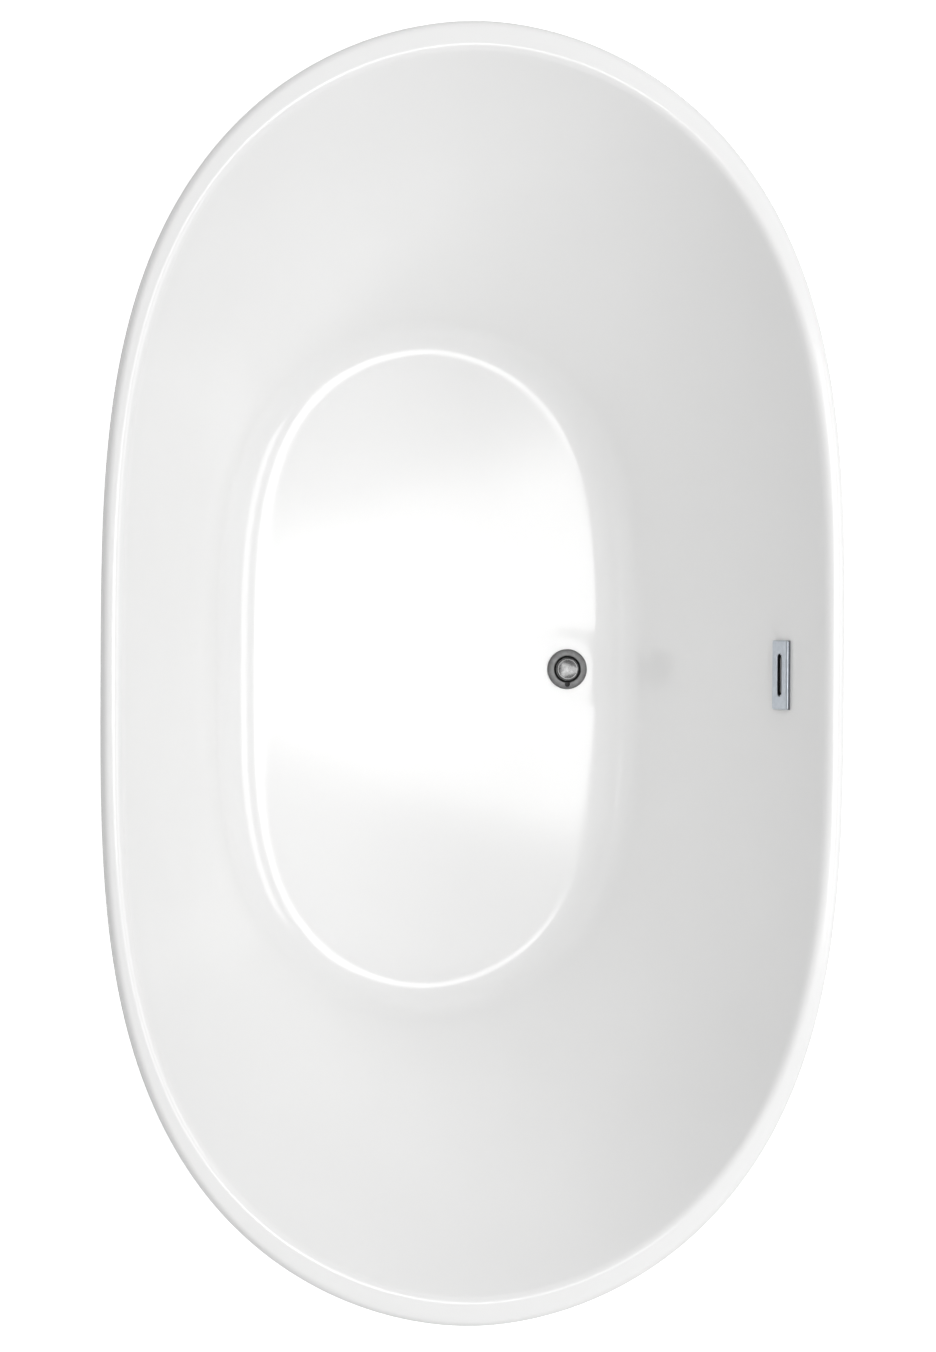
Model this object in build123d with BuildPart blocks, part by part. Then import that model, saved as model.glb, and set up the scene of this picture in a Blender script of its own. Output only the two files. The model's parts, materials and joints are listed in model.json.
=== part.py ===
from build123d import *
import os
from math import atan, cos, pi, sin

# Freestanding oval double-ended bathtub.
# Frame: +X along the tub, +Y towards the waste and overflow side, +Z up.
# Origin: centre of the tub's outline, on the floor plane under the feet.
# All sizes are in millimetres.

os.makedirs("parts", exist_ok=True)

# ---------------------------------------------------------------- driving dimensions
RIM_LENGTH = 1537.0
RIM_WIDTH = 885.0
RIM_HEIGHT = 590.0
SOAKING_DEPTH = 440.0

# An oval section is |x / a| ** LENGTH_POWER + |y / b| ** WIDTH_POWER = 1.
LENGTH_POWER = 3.25
WIDTH_POWER = 1.907
OUTLINE_POINTS = 40

# Half sizes of the bathing well where its straight walls meet the rim plane and floor plane.
WELL_TOP_LENGTH = 736.0
WELL_TOP_WIDTH = 421.0
WELL_FLOOR_LENGTH = 432.0
WELL_FLOOR_WIDTH = 259.0
FLOOR_FILLET = 86.0

ACRYLIC = 5.0
ACRYLIC_SIDEWAYS = 5.5
BACKING = 3.0
BACKING_TOP = 558.0
LIP_DROP = 25.0
RIM_OUTER_FILLET = 9.0
RIM_INNER_FILLET = 14.0

SKIRT_SETBACK = 6.0
SKIRT_THICKNESS = 5.0
SKIRT_TOP = 583.0
SKIRT_BOTTOM = 6.0
SKIRT_BASE_LENGTH = 610.0
SKIRT_BASE_WIDTH = 305.0
SKIRT_BULGE = 1.8
SKIRT_RETURN = 14.0

BOARD_THICKNESS = 15.0
BOARD_LENGTH = 372.0
BOARD_WIDTH = 176.0
TUBE_HEIGHT = 30.0
TUBE_WIDTH = 25.0
TUBE_WALL = 2.0
RAIL_OFFSET = 118.0
RAIL_LENGTH = 820.0
CROSS_X = 360.0
CROSS_LENGTH = 440.0
FOOT_Y = 190.0

STUD_RADIUS = 6.0
RUNNING_CLEARANCE = 0.05
PAD_RADIUS = 25.0
PAD_HEIGHT = 14.0
PAD_RIM = 4.0
PAD_STEP = 2.0
PAD_TAPER = 40

DRAIN_Y = 184.0
DISH_DEPTH = 2.0
FLANGE_RADIUS = 26.0
SEAT_RADIUS = 17.0
CAP_RADIUS = 16.2
TAILPIECE_RADIUS = 19.05
TAILPIECE_END = 16.0
TAILPIECE_NECK_RADIUS = 18.4
TAILPIECE_NECK_LOW = 48.0
TAILPIECE_BORE = 17.05

OVERFLOW_Z = 498.0
COVER_LENGTH = 84.0
COVER_HEIGHT = 33.0
COVER_DEPTH = 5.0
SLOT_LENGTH = 52.0
SLOT_HEIGHT = 10.0
HOSE_RADIUS = 11.0
HOSE_BORE = 8.5

# ---------------------------------------------------------------- derived levels
FLOOR_Z = RIM_HEIGHT - SOAKING_DEPTH
BACKING_Z = FLOOR_Z - ACRYLIC - BACKING
BOARD_Z = BACKING_Z - BOARD_THICKNESS
RAIL_Z = BOARD_Z - TUBE_HEIGHT
CROSS_Z = RAIL_Z - TUBE_HEIGHT
DISH_Z = FLOOR_Z - DISH_DEPTH
BOSS_Z = DISH_Z - 10.0
SIDE_SLOPE = (WELL_TOP_WIDTH - WELL_FLOOR_WIDTH) / SOAKING_DEPTH
END_SLOPE = (WELL_TOP_LENGTH - WELL_FLOOR_LENGTH) / SOAKING_DEPTH
SIDE_ANGLE = atan(SIDE_SLOPE)


# ---------------------------------------------------------------- shared shapes
def signed_power(value, power):
    return abs(value) ** power if value >= 0 else -(abs(value) ** power)


def oval_points(half_length, half_width):
    points = []
    for step in range(OUTLINE_POINTS):
        angle = 2 * pi * step / OUTLINE_POINTS
        x = half_length * signed_power(cos(angle), 2 / LENGTH_POWER)
        y = half_width * signed_power(sin(angle), 2 / WIDTH_POWER)
        points.append((x, y))
    return points


def oval(height, half_length, half_width):
    with BuildSketch(Plane.XY.offset(height)) as sketch:
        with BuildLine():
            Spline(*oval_points(half_length, half_width), periodic=True)
        make_face()
    return sketch.sketch


def bowl(sideways, below, top):
    """Solid of the bathing well, grown sideways and below, up to the level top."""
    low = FLOOR_Z - below
    fillet_radius = FLOOR_FILLET + below
    floor_length = WELL_FLOOR_LENGTH + sideways - below * END_SLOPE
    floor_width = WELL_FLOOR_WIDTH + sideways - below * SIDE_SLOPE
    top_length = floor_length + (top - low) * END_SLOPE
    top_width = floor_width + (top - low) * SIDE_SLOPE
    with BuildPart() as solid:
        add(oval(low, floor_length, floor_width))
        add(oval(top, top_length, top_width))
        loft(ruled=True)
        fillet(solid.faces().sort_by(Axis.Z)[0].edges(), fillet_radius)
    return solid.part


def tapered_oval(half_length, half_width, inset, low, high):
    """Skirt body: base sizes below, rim sizes above, bulging outwards between them."""
    rim_length = RIM_LENGTH / 2 - SKIRT_SETBACK
    rim_width = RIM_WIDTH / 2 - SKIRT_SETBACK
    with BuildPart() as solid:
        for share in (0.0, 0.25, 0.5, 0.75, 1.0):
            height = low + share * (high - low)
            rise = 1 - (1 - height / SKIRT_TOP) ** SKIRT_BULGE
            section_length = half_length + (rim_length - half_length) * rise - inset
            section_width = half_width + (rim_width - half_width) * rise - inset
            add(oval(height, section_length, section_width))
        loft()
    return solid.part


def ring(low, high, outer_radius, inner_radius):
    with BuildPart() as solid:
        with BuildSketch(Plane.XY.offset(low)):
            Circle(outer_radius)
            Circle(inner_radius, mode=Mode.SUBTRACT)
        extrude(amount=high - low)
    return solid.part


def hex_ring(low, high, across_flats, inner_radius):
    with BuildPart() as solid:
        with BuildSketch(Plane.XY.offset(low)):
            RegularPolygon(across_flats / 2, 6, major_radius=False)
            Circle(inner_radius, mode=Mode.SUBTRACT)
        extrude(amount=high - low)
    return solid.part


# ---------------------------------------------------------------- planes of the fittings
waste_plane = Plane((0, DRAIN_Y, 0))
# On this plane x is the distance from the waste's axis and y is the height above the floor.
waste_profile = Plane(origin=(0, DRAIN_Y, 0), x_dir=(1, 0, 0), z_dir=(0, -1, 0))
waste_axis = Axis((0, DRAIN_Y, 0), (0, 0, 1))
wall_y = WELL_FLOOR_WIDTH + (OVERFLOW_Z - FLOOR_Z) * SIDE_SLOPE
# On this plane x runs along the tub, y up the side wall and z out of the wall into the well.
wall_plane = Plane(
    origin=(0, wall_y, OVERFLOW_Z),
    x_dir=(1, 0, 0),
    z_dir=(0, -cos(SIDE_ANGLE), sin(SIDE_ANGLE)),
)
wall_axis = Axis(wall_plane.origin, wall_plane.z_dir)
waste = Location((0, DRAIN_Y, 0))


# ---------------------------------------------------------------- basin
well = bowl(0, 0, RIM_HEIGHT)
acrylic_body = bowl(ACRYLIC_SIDEWAYS, ACRYLIC, RIM_HEIGHT)
backing_body = bowl(ACRYLIC_SIDEWAYS + BACKING, ACRYLIC + BACKING, RIM_HEIGHT)

DISH_RADIUS = 33.0
DISH_MOUTH_RADIUS = 51.0
DISH_MOUTH_Z = DISH_Z + 12.0
BOSS_RADIUS = 50.0
WASTE_HOLE_RADIUS = 18.6
OVERFLOW_HOLE_LENGTH = 62.0
OVERFLOW_HOLE_HEIGHT = 15.0

with BuildPart() as rim:
    with BuildSketch(Plane.XY.offset(RIM_HEIGHT - LIP_DROP)):
        add(oval(0, RIM_LENGTH / 2, RIM_WIDTH / 2))
    extrude(amount=LIP_DROP)
    fillet(rim.faces().sort_by(Axis.Z)[-1].edges(), RIM_OUTER_FILLET)
    with BuildSketch(Plane.XY.offset(RIM_HEIGHT - LIP_DROP)):
        add(oval(0, RIM_LENGTH / 2 - ACRYLIC, RIM_WIDTH / 2 - ACRYLIC))
    extrude(amount=LIP_DROP - ACRYLIC, mode=Mode.SUBTRACT)

with BuildPart() as inner_basin:
    add(rim.part)
    add(acrylic_body)
    with BuildSketch(waste_plane.offset(BOSS_Z)):
        Circle(BOSS_RADIUS)
    extrude(amount=ACRYLIC + DISH_DEPTH + 3)
    add(well, mode=Mode.SUBTRACT)
    fillet(
        inner_basin.faces().filter_by(Plane.XY).sort_by(Axis.Z)[-1].inner_wires()[0].edges(),
        RIM_INNER_FILLET,
    )
    with BuildSketch(waste_profile):
        with BuildLine():
            Polyline(
                (0, DISH_Z),
                (DISH_RADIUS, DISH_Z),
                (DISH_MOUTH_RADIUS, DISH_MOUTH_Z),
                (0, DISH_MOUTH_Z),
                close=True,
            )
        make_face()
    revolve(axis=waste_axis, mode=Mode.SUBTRACT)
    with BuildSketch(waste_plane.offset(BOSS_Z - 1)):
        Circle(WASTE_HOLE_RADIUS)
    extrude(amount=DISH_Z - BOSS_Z + 2, mode=Mode.SUBTRACT)
    with BuildSketch(wall_plane.offset(-2 * ACRYLIC)):
        RectangleRounded(OVERFLOW_HOLE_LENGTH, OVERFLOW_HOLE_HEIGHT, 5)
    extrude(amount=3 * ACRYLIC, mode=Mode.SUBTRACT)
inner_basin.part.label = "inner_basin"
export_step(inner_basin.part, "parts/inner_basin.step")

BACKING_WASTE_HOLE = 54.0
BACKING_WINDOW_LENGTH = 100.0
BACKING_WINDOW_HEIGHT = 74.0

with BuildPart() as basin_reinforcement:
    add(backing_body)
    add(acrylic_body, mode=Mode.SUBTRACT)
    with BuildSketch(Plane.XY.offset(BACKING_TOP)):
        Rectangle(RIM_LENGTH, RIM_WIDTH)
    extrude(amount=RIM_HEIGHT - BACKING_TOP, mode=Mode.SUBTRACT)
    with BuildSketch(waste_plane.offset(BACKING_Z - 1)):
        Circle(BACKING_WASTE_HOLE)
    extrude(amount=30, mode=Mode.SUBTRACT)
    with BuildSketch(wall_plane.offset(-4 * ACRYLIC)):
        with Locations((0, -14)):
            RectangleRounded(BACKING_WINDOW_LENGTH, BACKING_WINDOW_HEIGHT, 10)
    extrude(amount=5 * ACRYLIC, mode=Mode.SUBTRACT)
basin_reinforcement.part.label = "basin_reinforcement"
export_step(basin_reinforcement.part, "parts/basin_reinforcement.step")

# ---------------------------------------------------------------- outer skirt
skirt_outside = tapered_oval(SKIRT_BASE_LENGTH, SKIRT_BASE_WIDTH, 0, SKIRT_BOTTOM, SKIRT_TOP)
skirt_inside = tapered_oval(
    SKIRT_BASE_LENGTH, SKIRT_BASE_WIDTH, SKIRT_THICKNESS, SKIRT_BOTTOM + SKIRT_THICKNESS, SKIRT_TOP
)

with BuildPart() as outer_skirt:
    add(skirt_outside)
    add(skirt_inside, mode=Mode.SUBTRACT)
    with BuildSketch(Plane.XY.offset(SKIRT_BOTTOM - 1)):
        add(oval(0, SKIRT_BASE_LENGTH - SKIRT_RETURN, SKIRT_BASE_WIDTH - SKIRT_RETURN))
    extrude(amount=SKIRT_THICKNESS + 2, mode=Mode.SUBTRACT)
outer_skirt.part.label = "outer_skirt"
export_step(outer_skirt.part, "parts/outer_skirt.step")

# Bead of adhesive between the skirt's top edge and the underside of the rolled rim.
rim_underside = RIM_HEIGHT - ACRYLIC
skirt_top_length = RIM_LENGTH / 2 - SKIRT_SETBACK
skirt_top_width = RIM_WIDTH / 2 - SKIRT_SETBACK

with BuildPart() as rim_bond:
    with BuildSketch(Plane.XY.offset(SKIRT_TOP)):
        add(oval(0, skirt_top_length, skirt_top_width))
        add(
            oval(0, skirt_top_length - SKIRT_THICKNESS, skirt_top_width - SKIRT_THICKNESS),
            mode=Mode.SUBTRACT,
        )
    extrude(amount=rim_underside - SKIRT_TOP)
rim_bond.part.label = "rim_bond"
export_step(rim_bond.part, "parts/rim_bond.step")

# ---------------------------------------------------------------- floor board
BOARD_WASTE_NOTCH = 56.0
SCREW_RADIUS = 2.0
SCREW_HEAD_RADIUS = 4.0
SCREW_BITE = 10.0
SCREW_X = (-270.0, -90.0, 90.0, 270.0)

with BuildPart() as floor_board:
    with BuildSketch(Plane.XY.offset(BOARD_Z)):
        add(oval(0, BOARD_LENGTH, BOARD_WIDTH))
        with Locations((0, DRAIN_Y)):
            Circle(BOARD_WASTE_NOTCH, mode=Mode.SUBTRACT)
    extrude(amount=BOARD_THICKNESS)
    with BuildSketch(Plane.XY.offset(BOARD_Z)):
        with Locations([(x, side * RAIL_OFFSET) for x in SCREW_X for side in (-1, 1)]):
            Circle(SCREW_RADIUS)
    extrude(amount=SCREW_BITE, mode=Mode.SUBTRACT)
floor_board.part.label = "floor_board"
export_step(floor_board.part, "parts/floor_board.step")

# ---------------------------------------------------------------- steel frame
for side, side_name in ((-1, "rail_left"), (1, "rail_right")):
    with BuildPart() as rail:
        with BuildSketch(Plane.YZ.offset(-RAIL_LENGTH / 2)):
            with Locations((side * RAIL_OFFSET, RAIL_Z + TUBE_HEIGHT / 2)):
                RectangleRounded(TUBE_WIDTH, TUBE_HEIGHT, 3)
                RectangleRounded(
                    TUBE_WIDTH - 2 * TUBE_WALL, TUBE_HEIGHT - 2 * TUBE_WALL, 1.5, mode=Mode.SUBTRACT
                )
        extrude(amount=RAIL_LENGTH)
        with BuildSketch(Plane.XY.offset(RAIL_Z)):
            with Locations([(x, side * RAIL_OFFSET) for x in SCREW_X]):
                Circle(SCREW_RADIUS)
        extrude(amount=TUBE_HEIGHT, mode=Mode.SUBTRACT)
    rail.part.label = side_name
    export_step(rail.part, "parts/" + side_name + ".step")

BRACKET_SCREW_Y = 212.0
# Each cross tube: place along the tub, full length and the Y of the feet that it carries.
cross_tubes = (
    (-CROSS_X, CROSS_LENGTH, (-FOOT_Y, FOOT_Y)),
    (0.0, 2 * RAIL_OFFSET + TUBE_WIDTH, (0.0,)),
    (CROSS_X, CROSS_LENGTH, (-FOOT_Y, FOOT_Y)),
)
feet = []
for number, (cross_x, cross_length, foot_places) in enumerate(cross_tubes, start=1):
    with BuildPart() as cross:
        with BuildSketch(Plane.XZ.offset(-cross_length / 2)):
            with Locations((cross_x, CROSS_Z + TUBE_HEIGHT / 2)):
                RectangleRounded(TUBE_WIDTH, TUBE_HEIGHT, 3)
                RectangleRounded(
                    TUBE_WIDTH - 2 * TUBE_WALL, TUBE_HEIGHT - 2 * TUBE_WALL, 1.5, mode=Mode.SUBTRACT
                )
        extrude(amount=cross_length)
        for foot_y in foot_places:
            feet.append((cross_x, foot_y))
            with BuildSketch(Plane.XY.offset(CROSS_Z - 1)):
                with Locations((cross_x, foot_y)):
                    Circle(STUD_RADIUS + 0.75)
            extrude(amount=TUBE_HEIGHT + 2, mode=Mode.SUBTRACT)
            if foot_y != 0:
                with BuildSketch(Plane.XY.offset(CROSS_Z)):
                    with Locations((cross_x, foot_y / abs(foot_y) * BRACKET_SCREW_Y)):
                        Circle(SCREW_RADIUS)
                extrude(amount=TUBE_WALL, mode=Mode.SUBTRACT)
    cross.part.label = "cross_tube_" + str(number)
    export_step(cross.part, "parts/cross_tube_" + str(number) + ".step")

CAP_THICKNESS = 2.5
with BuildPart() as tube_caps:
    for end in (-1, 1):
        for side in (-1, 1):
            rail_end = RAIL_LENGTH / 2 if end > 0 else -RAIL_LENGTH / 2 - CAP_THICKNESS
            with BuildSketch(Plane.YZ.offset(rail_end)):
                with Locations((side * RAIL_OFFSET, RAIL_Z + TUBE_HEIGHT / 2)):
                    RectangleRounded(TUBE_WIDTH, TUBE_HEIGHT, 3)
            extrude(amount=CAP_THICKNESS)
tube_caps.part.label = "tube_caps"
export_step(tube_caps.part, "parts/tube_caps.step")

# Wood screws up through the rails into the floor board, heads under the rails.
with BuildPart() as board_screws:
    for side in (-1, 1):
        for screw_x in SCREW_X:
            with BuildSketch(Plane.XY.offset(RAIL_Z - 2.5)):
                with Locations((screw_x, side * RAIL_OFFSET)):
                    Circle(SCREW_HEAD_RADIUS)
            extrude(amount=2.5)
            with BuildSketch(Plane.XY.offset(RAIL_Z)):
                with Locations((screw_x, side * RAIL_OFFSET)):
                    Circle(SCREW_RADIUS)
            extrude(amount=TUBE_HEIGHT + SCREW_BITE)
board_screws.part.label = "board_screws"
export_step(board_screws.part, "parts/board_screws.step")

# ---------------------------------------------------------------- brackets to the skirt
BRACKET_WIDTH = 44.0
BRACKET_PLATE = 3.0
BRACKET_START = 204.0
BRACKET_END = 286.0
BRACKET_TAB = 40.0
bracket_low = CROSS_Z - BRACKET_PLATE
corners = [(-CROSS_X, -1), (-CROSS_X, 1), (CROSS_X, -1), (CROSS_X, 1)]

for number, (corner_x, side) in enumerate(corners, start=1):
    with BuildPart() as bracket:
        with BuildSketch(Plane.YZ.offset(corner_x - BRACKET_WIDTH / 2)):
            with BuildLine():
                Polyline(
                    (side * BRACKET_START, bracket_low),
                    (side * BRACKET_END, bracket_low),
                    (side * BRACKET_END, bracket_low + BRACKET_TAB),
                    (side * (BRACKET_END - BRACKET_PLATE), bracket_low + BRACKET_TAB),
                    (side * (BRACKET_END - BRACKET_PLATE), CROSS_Z),
                    (side * BRACKET_START, CROSS_Z),
                    close=True,
                )
            make_face()
        extrude(amount=BRACKET_WIDTH)
        with BuildSketch(Plane.XY.offset(bracket_low)):
            with Locations((corner_x, side * BRACKET_SCREW_Y)):
                Circle(SCREW_RADIUS)
        extrude(amount=BRACKET_PLATE, mode=Mode.SUBTRACT)
    bracket.part.label = "skirt_bracket_" + str(number)
    export_step(bracket.part, "parts/skirt_bracket_" + str(number) + ".step")

with BuildPart() as bracket_screws:
    for corner_x, side in corners:
        with BuildSketch(Plane.XY.offset(bracket_low - 2)):
            with Locations((corner_x, side * BRACKET_SCREW_Y)):
                Circle(SCREW_HEAD_RADIUS)
        extrude(amount=2)
        with BuildSketch(Plane.XY.offset(bracket_low)):
            with Locations((corner_x, side * BRACKET_SCREW_Y)):
                Circle(SCREW_RADIUS)
        extrude(amount=BRACKET_PLATE + TUBE_WALL)
bracket_screws.part.label = "bracket_screws"
export_step(bracket_screws.part, "parts/bracket_screws.step")

# Bonding blocks fill the gap between each bracket's tab and the inside of the skirt.
with BuildPart() as bond_blocks:
    for corner_x, side in corners:
        with BuildSketch(Plane.XY.offset(CROSS_Z)):
            with Locations((corner_x, side * (BRACKET_END + 30))):
                Rectangle(BRACKET_WIDTH, 60)
        extrude(amount=BRACKET_TAB - BRACKET_PLATE)
    add(skirt_inside, mode=Mode.INTERSECT)
bond_blocks.part.label = "bond_blocks"
export_step(bond_blocks.part, "parts/bond_blocks.step")

# ---------------------------------------------------------------- levelling feet
SOCKET_FLOOR = 8.0
STUD_LOW = 8.3
STUD_TOP = 121.0
NUT_FLATS = 19.0
NUT_HEIGHT = 10.0
HEX_LOW = 16.0
HEX_HEIGHT = 8.0
HEX_FLATS = 17.0

for number, (foot_x, foot_y) in enumerate(feet, start=1):
    with BuildPart() as pad:
        with BuildSketch():
            with Locations((foot_x, foot_y)):
                Circle(PAD_RADIUS)
        extrude(amount=PAD_RIM)
        with BuildSketch(Plane.XY.offset(PAD_RIM)):
            with Locations((foot_x, foot_y)):
                Circle(PAD_RADIUS - PAD_STEP)
        extrude(amount=PAD_HEIGHT - PAD_RIM, taper=PAD_TAPER)
        with BuildSketch(Plane.XY.offset(SOCKET_FLOOR)):
            with Locations((foot_x, foot_y)):
                Circle(STUD_RADIUS + RUNNING_CLEARANCE)
        extrude(amount=PAD_HEIGHT, mode=Mode.SUBTRACT)
    pad.part.label = "foot_pad_" + str(number)
    export_step(pad.part, "parts/foot_pad_" + str(number) + ".step")

    with BuildPart() as stud:
        with BuildSketch(Plane.XY.offset(STUD_LOW)):
            with Locations((foot_x, foot_y)):
                Circle(STUD_RADIUS)
        extrude(amount=STUD_TOP - STUD_LOW)
        chamfer(stud.faces().sort_by(Axis.Z)[-1].edges(), 1)
        with BuildSketch(Plane.XY.offset(HEX_LOW)):
            with Locations((foot_x, foot_y)):
                RegularPolygon(HEX_FLATS / 2, 6, major_radius=False)
        extrude(amount=HEX_HEIGHT)
    stud.part.label = "foot_stud_" + str(number)
    export_step(stud.part, "parts/foot_stud_" + str(number) + ".step")

for node, nut_low in (("weld_nuts", RAIL_Z), ("lock_nuts", CROSS_Z - NUT_HEIGHT)):
    with BuildPart() as nuts:
        with BuildSketch(Plane.XY.offset(nut_low)):
            with Locations(feet):
                RegularPolygon(NUT_FLATS / 2, 6, major_radius=False)
                Circle(STUD_RADIUS + RUNNING_CLEARANCE, mode=Mode.SUBTRACT)
        extrude(amount=NUT_HEIGHT)
    nuts.part.label = node
    export_step(nuts.part, "parts/" + node + ".step")

# ---------------------------------------------------------------- waste fitting
TUBE_RADIUS = 17.7
TUBE_BORE = 15.2
TUBE_END = 104.0
GASKET_TOP = DISH_Z + 1.0
FLANGE_TOP = GASKET_TOP + 3.2
HUB_RADIUS = 8.5
CARTRIDGE_RADIUS = 6.0
SPIDER_LOW = 112.0
SPIDER_HEIGHT = 6.0
NOTCH_RADIUS = 2.6
NOTCH_DEPTH = 1.6
FLANGE_EDGE = 0.6
FLANGE_SHOULDER = 4.2
SEAT_CHAMFER = 0.8
SEAT_LOW = 145.6
SEAT_END = 143.6
SPOKE_WIDTH = 3.0

with BuildPart() as drain_flange:
    with BuildSketch(waste_profile):
        with BuildLine():
            Polyline((TUBE_BORE, TUBE_END), (TUBE_RADIUS, TUBE_END), (TUBE_RADIUS, GASKET_TOP))
            Line((TUBE_RADIUS, GASKET_TOP), (FLANGE_RADIUS, GASKET_TOP))
            Line((FLANGE_RADIUS, GASKET_TOP), (FLANGE_RADIUS, GASKET_TOP + FLANGE_EDGE))
            ThreePointArc(
                (FLANGE_RADIUS, GASKET_TOP + FLANGE_EDGE),
                (FLANGE_RADIUS - 1.6, FLANGE_TOP - 0.7),
                (FLANGE_RADIUS - FLANGE_SHOULDER, FLANGE_TOP),
            )
            Polyline(
                (FLANGE_RADIUS - FLANGE_SHOULDER, FLANGE_TOP),
                (SEAT_RADIUS + SEAT_CHAMFER, FLANGE_TOP),
                (SEAT_RADIUS, FLANGE_TOP - SEAT_CHAMFER),
                (SEAT_RADIUS, SEAT_LOW),
                (TUBE_BORE, SEAT_END),
                (TUBE_BORE, TUBE_END),
            )
        make_face()
    revolve(axis=waste_axis)
    with BuildSketch(waste_plane.offset(SPIDER_LOW)):
        Rectangle(2 * TUBE_BORE + 1, SPOKE_WIDTH)
        Rectangle(SPOKE_WIDTH, 2 * TUBE_BORE + 1)
        Circle(HUB_RADIUS)
        Circle(CARTRIDGE_RADIUS, mode=Mode.SUBTRACT)
    extrude(amount=SPIDER_HEIGHT)
    # Round finger notch in the flange's inner edge.
    with BuildSketch(waste_plane.offset(FLANGE_TOP - NOTCH_DEPTH)):
        with Locations((SEAT_RADIUS + 1.8, 0)):
            Circle(NOTCH_RADIUS)
    extrude(amount=2 * NOTCH_DEPTH, mode=Mode.SUBTRACT)
drain_flange.part.label = "drain_flange"
export_step(drain_flange.part, "parts/drain_flange.step")

WASHER_LOW = BOSS_Z - 3.0
drain_gasket = ring(DISH_Z, GASKET_TOP, FLANGE_RADIUS - 1, TUBE_RADIUS).moved(waste)
drain_gasket.label = "drain_gasket"
export_step(drain_gasket, "parts/drain_gasket.step")

drain_washer = ring(WASHER_LOW, BOSS_Z, FLANGE_RADIUS + 3, TUBE_RADIUS).moved(waste)
drain_washer.label = "drain_washer"
export_step(drain_washer, "parts/drain_washer.step")

# ---------------------------------------------------------------- toe-touch stopper
CAP_LOW = 147.5
CAP_BEVEL = 0.8
CAP_SOCKET_RADIUS = 2.5
CAP_SOCKET = 3.0
CAP_EDGE = FLANGE_TOP - 1.4
CAP_CROWN = FLANGE_TOP + 1.6
CARTRIDGE_LOW = 104.0
CARTRIDGE_TOP = 140.0
STEM_RADIUS = 3.0
STEM_LOW = 126.0
COLLAR_LOW = 144.0
COLLAR_RADIUS = 7.0
SEAL_LOW = 145.5
SPRING_LOW = 106.3
SPRING_TURNS = 9
SPRING_RADIUS = 2.3
SPRING_WIRE = 0.35

# The dome is level at its centre and passes through the cap's upper edge.
cap_dome_rise = CAP_CROWN - CAP_EDGE
cap_dome_radius = ((CAP_RADIUS - CAP_BEVEL) ** 2 + cap_dome_rise**2) / (2 * cap_dome_rise)

with BuildPart() as stopper_cap:
    with BuildSketch(waste_profile):
        with BuildLine():
            Polyline(
                (CAP_SOCKET_RADIUS, CAP_LOW + CAP_SOCKET),
                (CAP_SOCKET_RADIUS, CAP_LOW),
                (CAP_RADIUS - 0.5, CAP_LOW),
                (CAP_RADIUS, CAP_LOW + 0.5),
                (CAP_RADIUS, CAP_EDGE - CAP_BEVEL),
                (CAP_RADIUS - CAP_BEVEL, CAP_EDGE),
            )
            RadiusArc((CAP_RADIUS - CAP_BEVEL, CAP_EDGE), (0, CAP_CROWN), -cap_dome_radius)
            Polyline(
                (0, CAP_CROWN), (0, CAP_LOW + CAP_SOCKET), (CAP_SOCKET_RADIUS, CAP_LOW + CAP_SOCKET)
            )
        make_face()
    revolve(axis=waste_axis)
stopper_cap.part.label = "stopper_cap"
export_step(stopper_cap.part, "parts/stopper_cap.step")

with BuildPart() as stopper_stem:
    for low, high, radius in (
        (STEM_LOW, COLLAR_LOW, STEM_RADIUS),
        (COLLAR_LOW, SEAL_LOW, COLLAR_RADIUS),
        (SEAL_LOW, CAP_LOW + CAP_SOCKET, CAP_SOCKET_RADIUS),
    ):
        with BuildSketch(waste_plane.offset(low)):
            Circle(radius)
        extrude(amount=high - low)
stopper_stem.part.label = "stopper_stem"
export_step(stopper_stem.part, "parts/stopper_stem.step")

stopper_seal = ring(SEAL_LOW, CAP_LOW, CAP_RADIUS, CAP_SOCKET_RADIUS).moved(waste)
stopper_seal.label = "stopper_seal"
export_step(stopper_seal, "parts/stopper_seal.step")

with BuildPart() as stopper_cartridge:
    with BuildSketch(waste_plane.offset(CARTRIDGE_LOW)):
        Circle(CARTRIDGE_RADIUS)
    extrude(amount=CARTRIDGE_TOP - CARTRIDGE_LOW)
    with BuildSketch(waste_plane.offset(SPRING_LOW - 0.3)):
        Circle(STEM_RADIUS + RUNNING_CLEARANCE)
    extrude(amount=CARTRIDGE_TOP, mode=Mode.SUBTRACT)
stopper_cartridge.part.label = "stopper_cartridge"
export_step(stopper_cartridge.part, "parts/stopper_cartridge.step")

spring_height = STEM_LOW - SPRING_LOW - 0.7
with BuildPart() as stopper_spring:
    with BuildLine():
        coil = Helix(
            pitch=spring_height / SPRING_TURNS,
            height=spring_height,
            radius=SPRING_RADIUS,
            center=(0, DRAIN_Y, SPRING_LOW + 0.4),
        )
    with BuildSketch(Plane(origin=coil @ 0, z_dir=coil % 0)):
        Circle(SPRING_WIRE)
    sweep(is_frenet=True)
stopper_spring.part.label = "stopper_spring"
export_step(stopper_spring.part, "parts/stopper_spring.step")

# ---------------------------------------------------------------- waste body and tailpiece
SHOE_LOW = 62.0
SHOE_RADIUS = 23.0
SHOE_FLANGE_RADIUS = 30.0
SHOE_FLANGE = 4.0
SHOULDER_Z = 78.0
SHOULDER_BORE = 16.0
SOCKET_RADIUS = TAILPIECE_NECK_RADIUS + 0.15
SPIGOT_Z = 95.0
SPIGOT_ROOT = DRAIN_Y + 19.0
SPIGOT_START = DRAIN_Y + 30.0
SPIGOT_BORE = 6.5
SPIGOT_GRIP = 20.0

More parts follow.
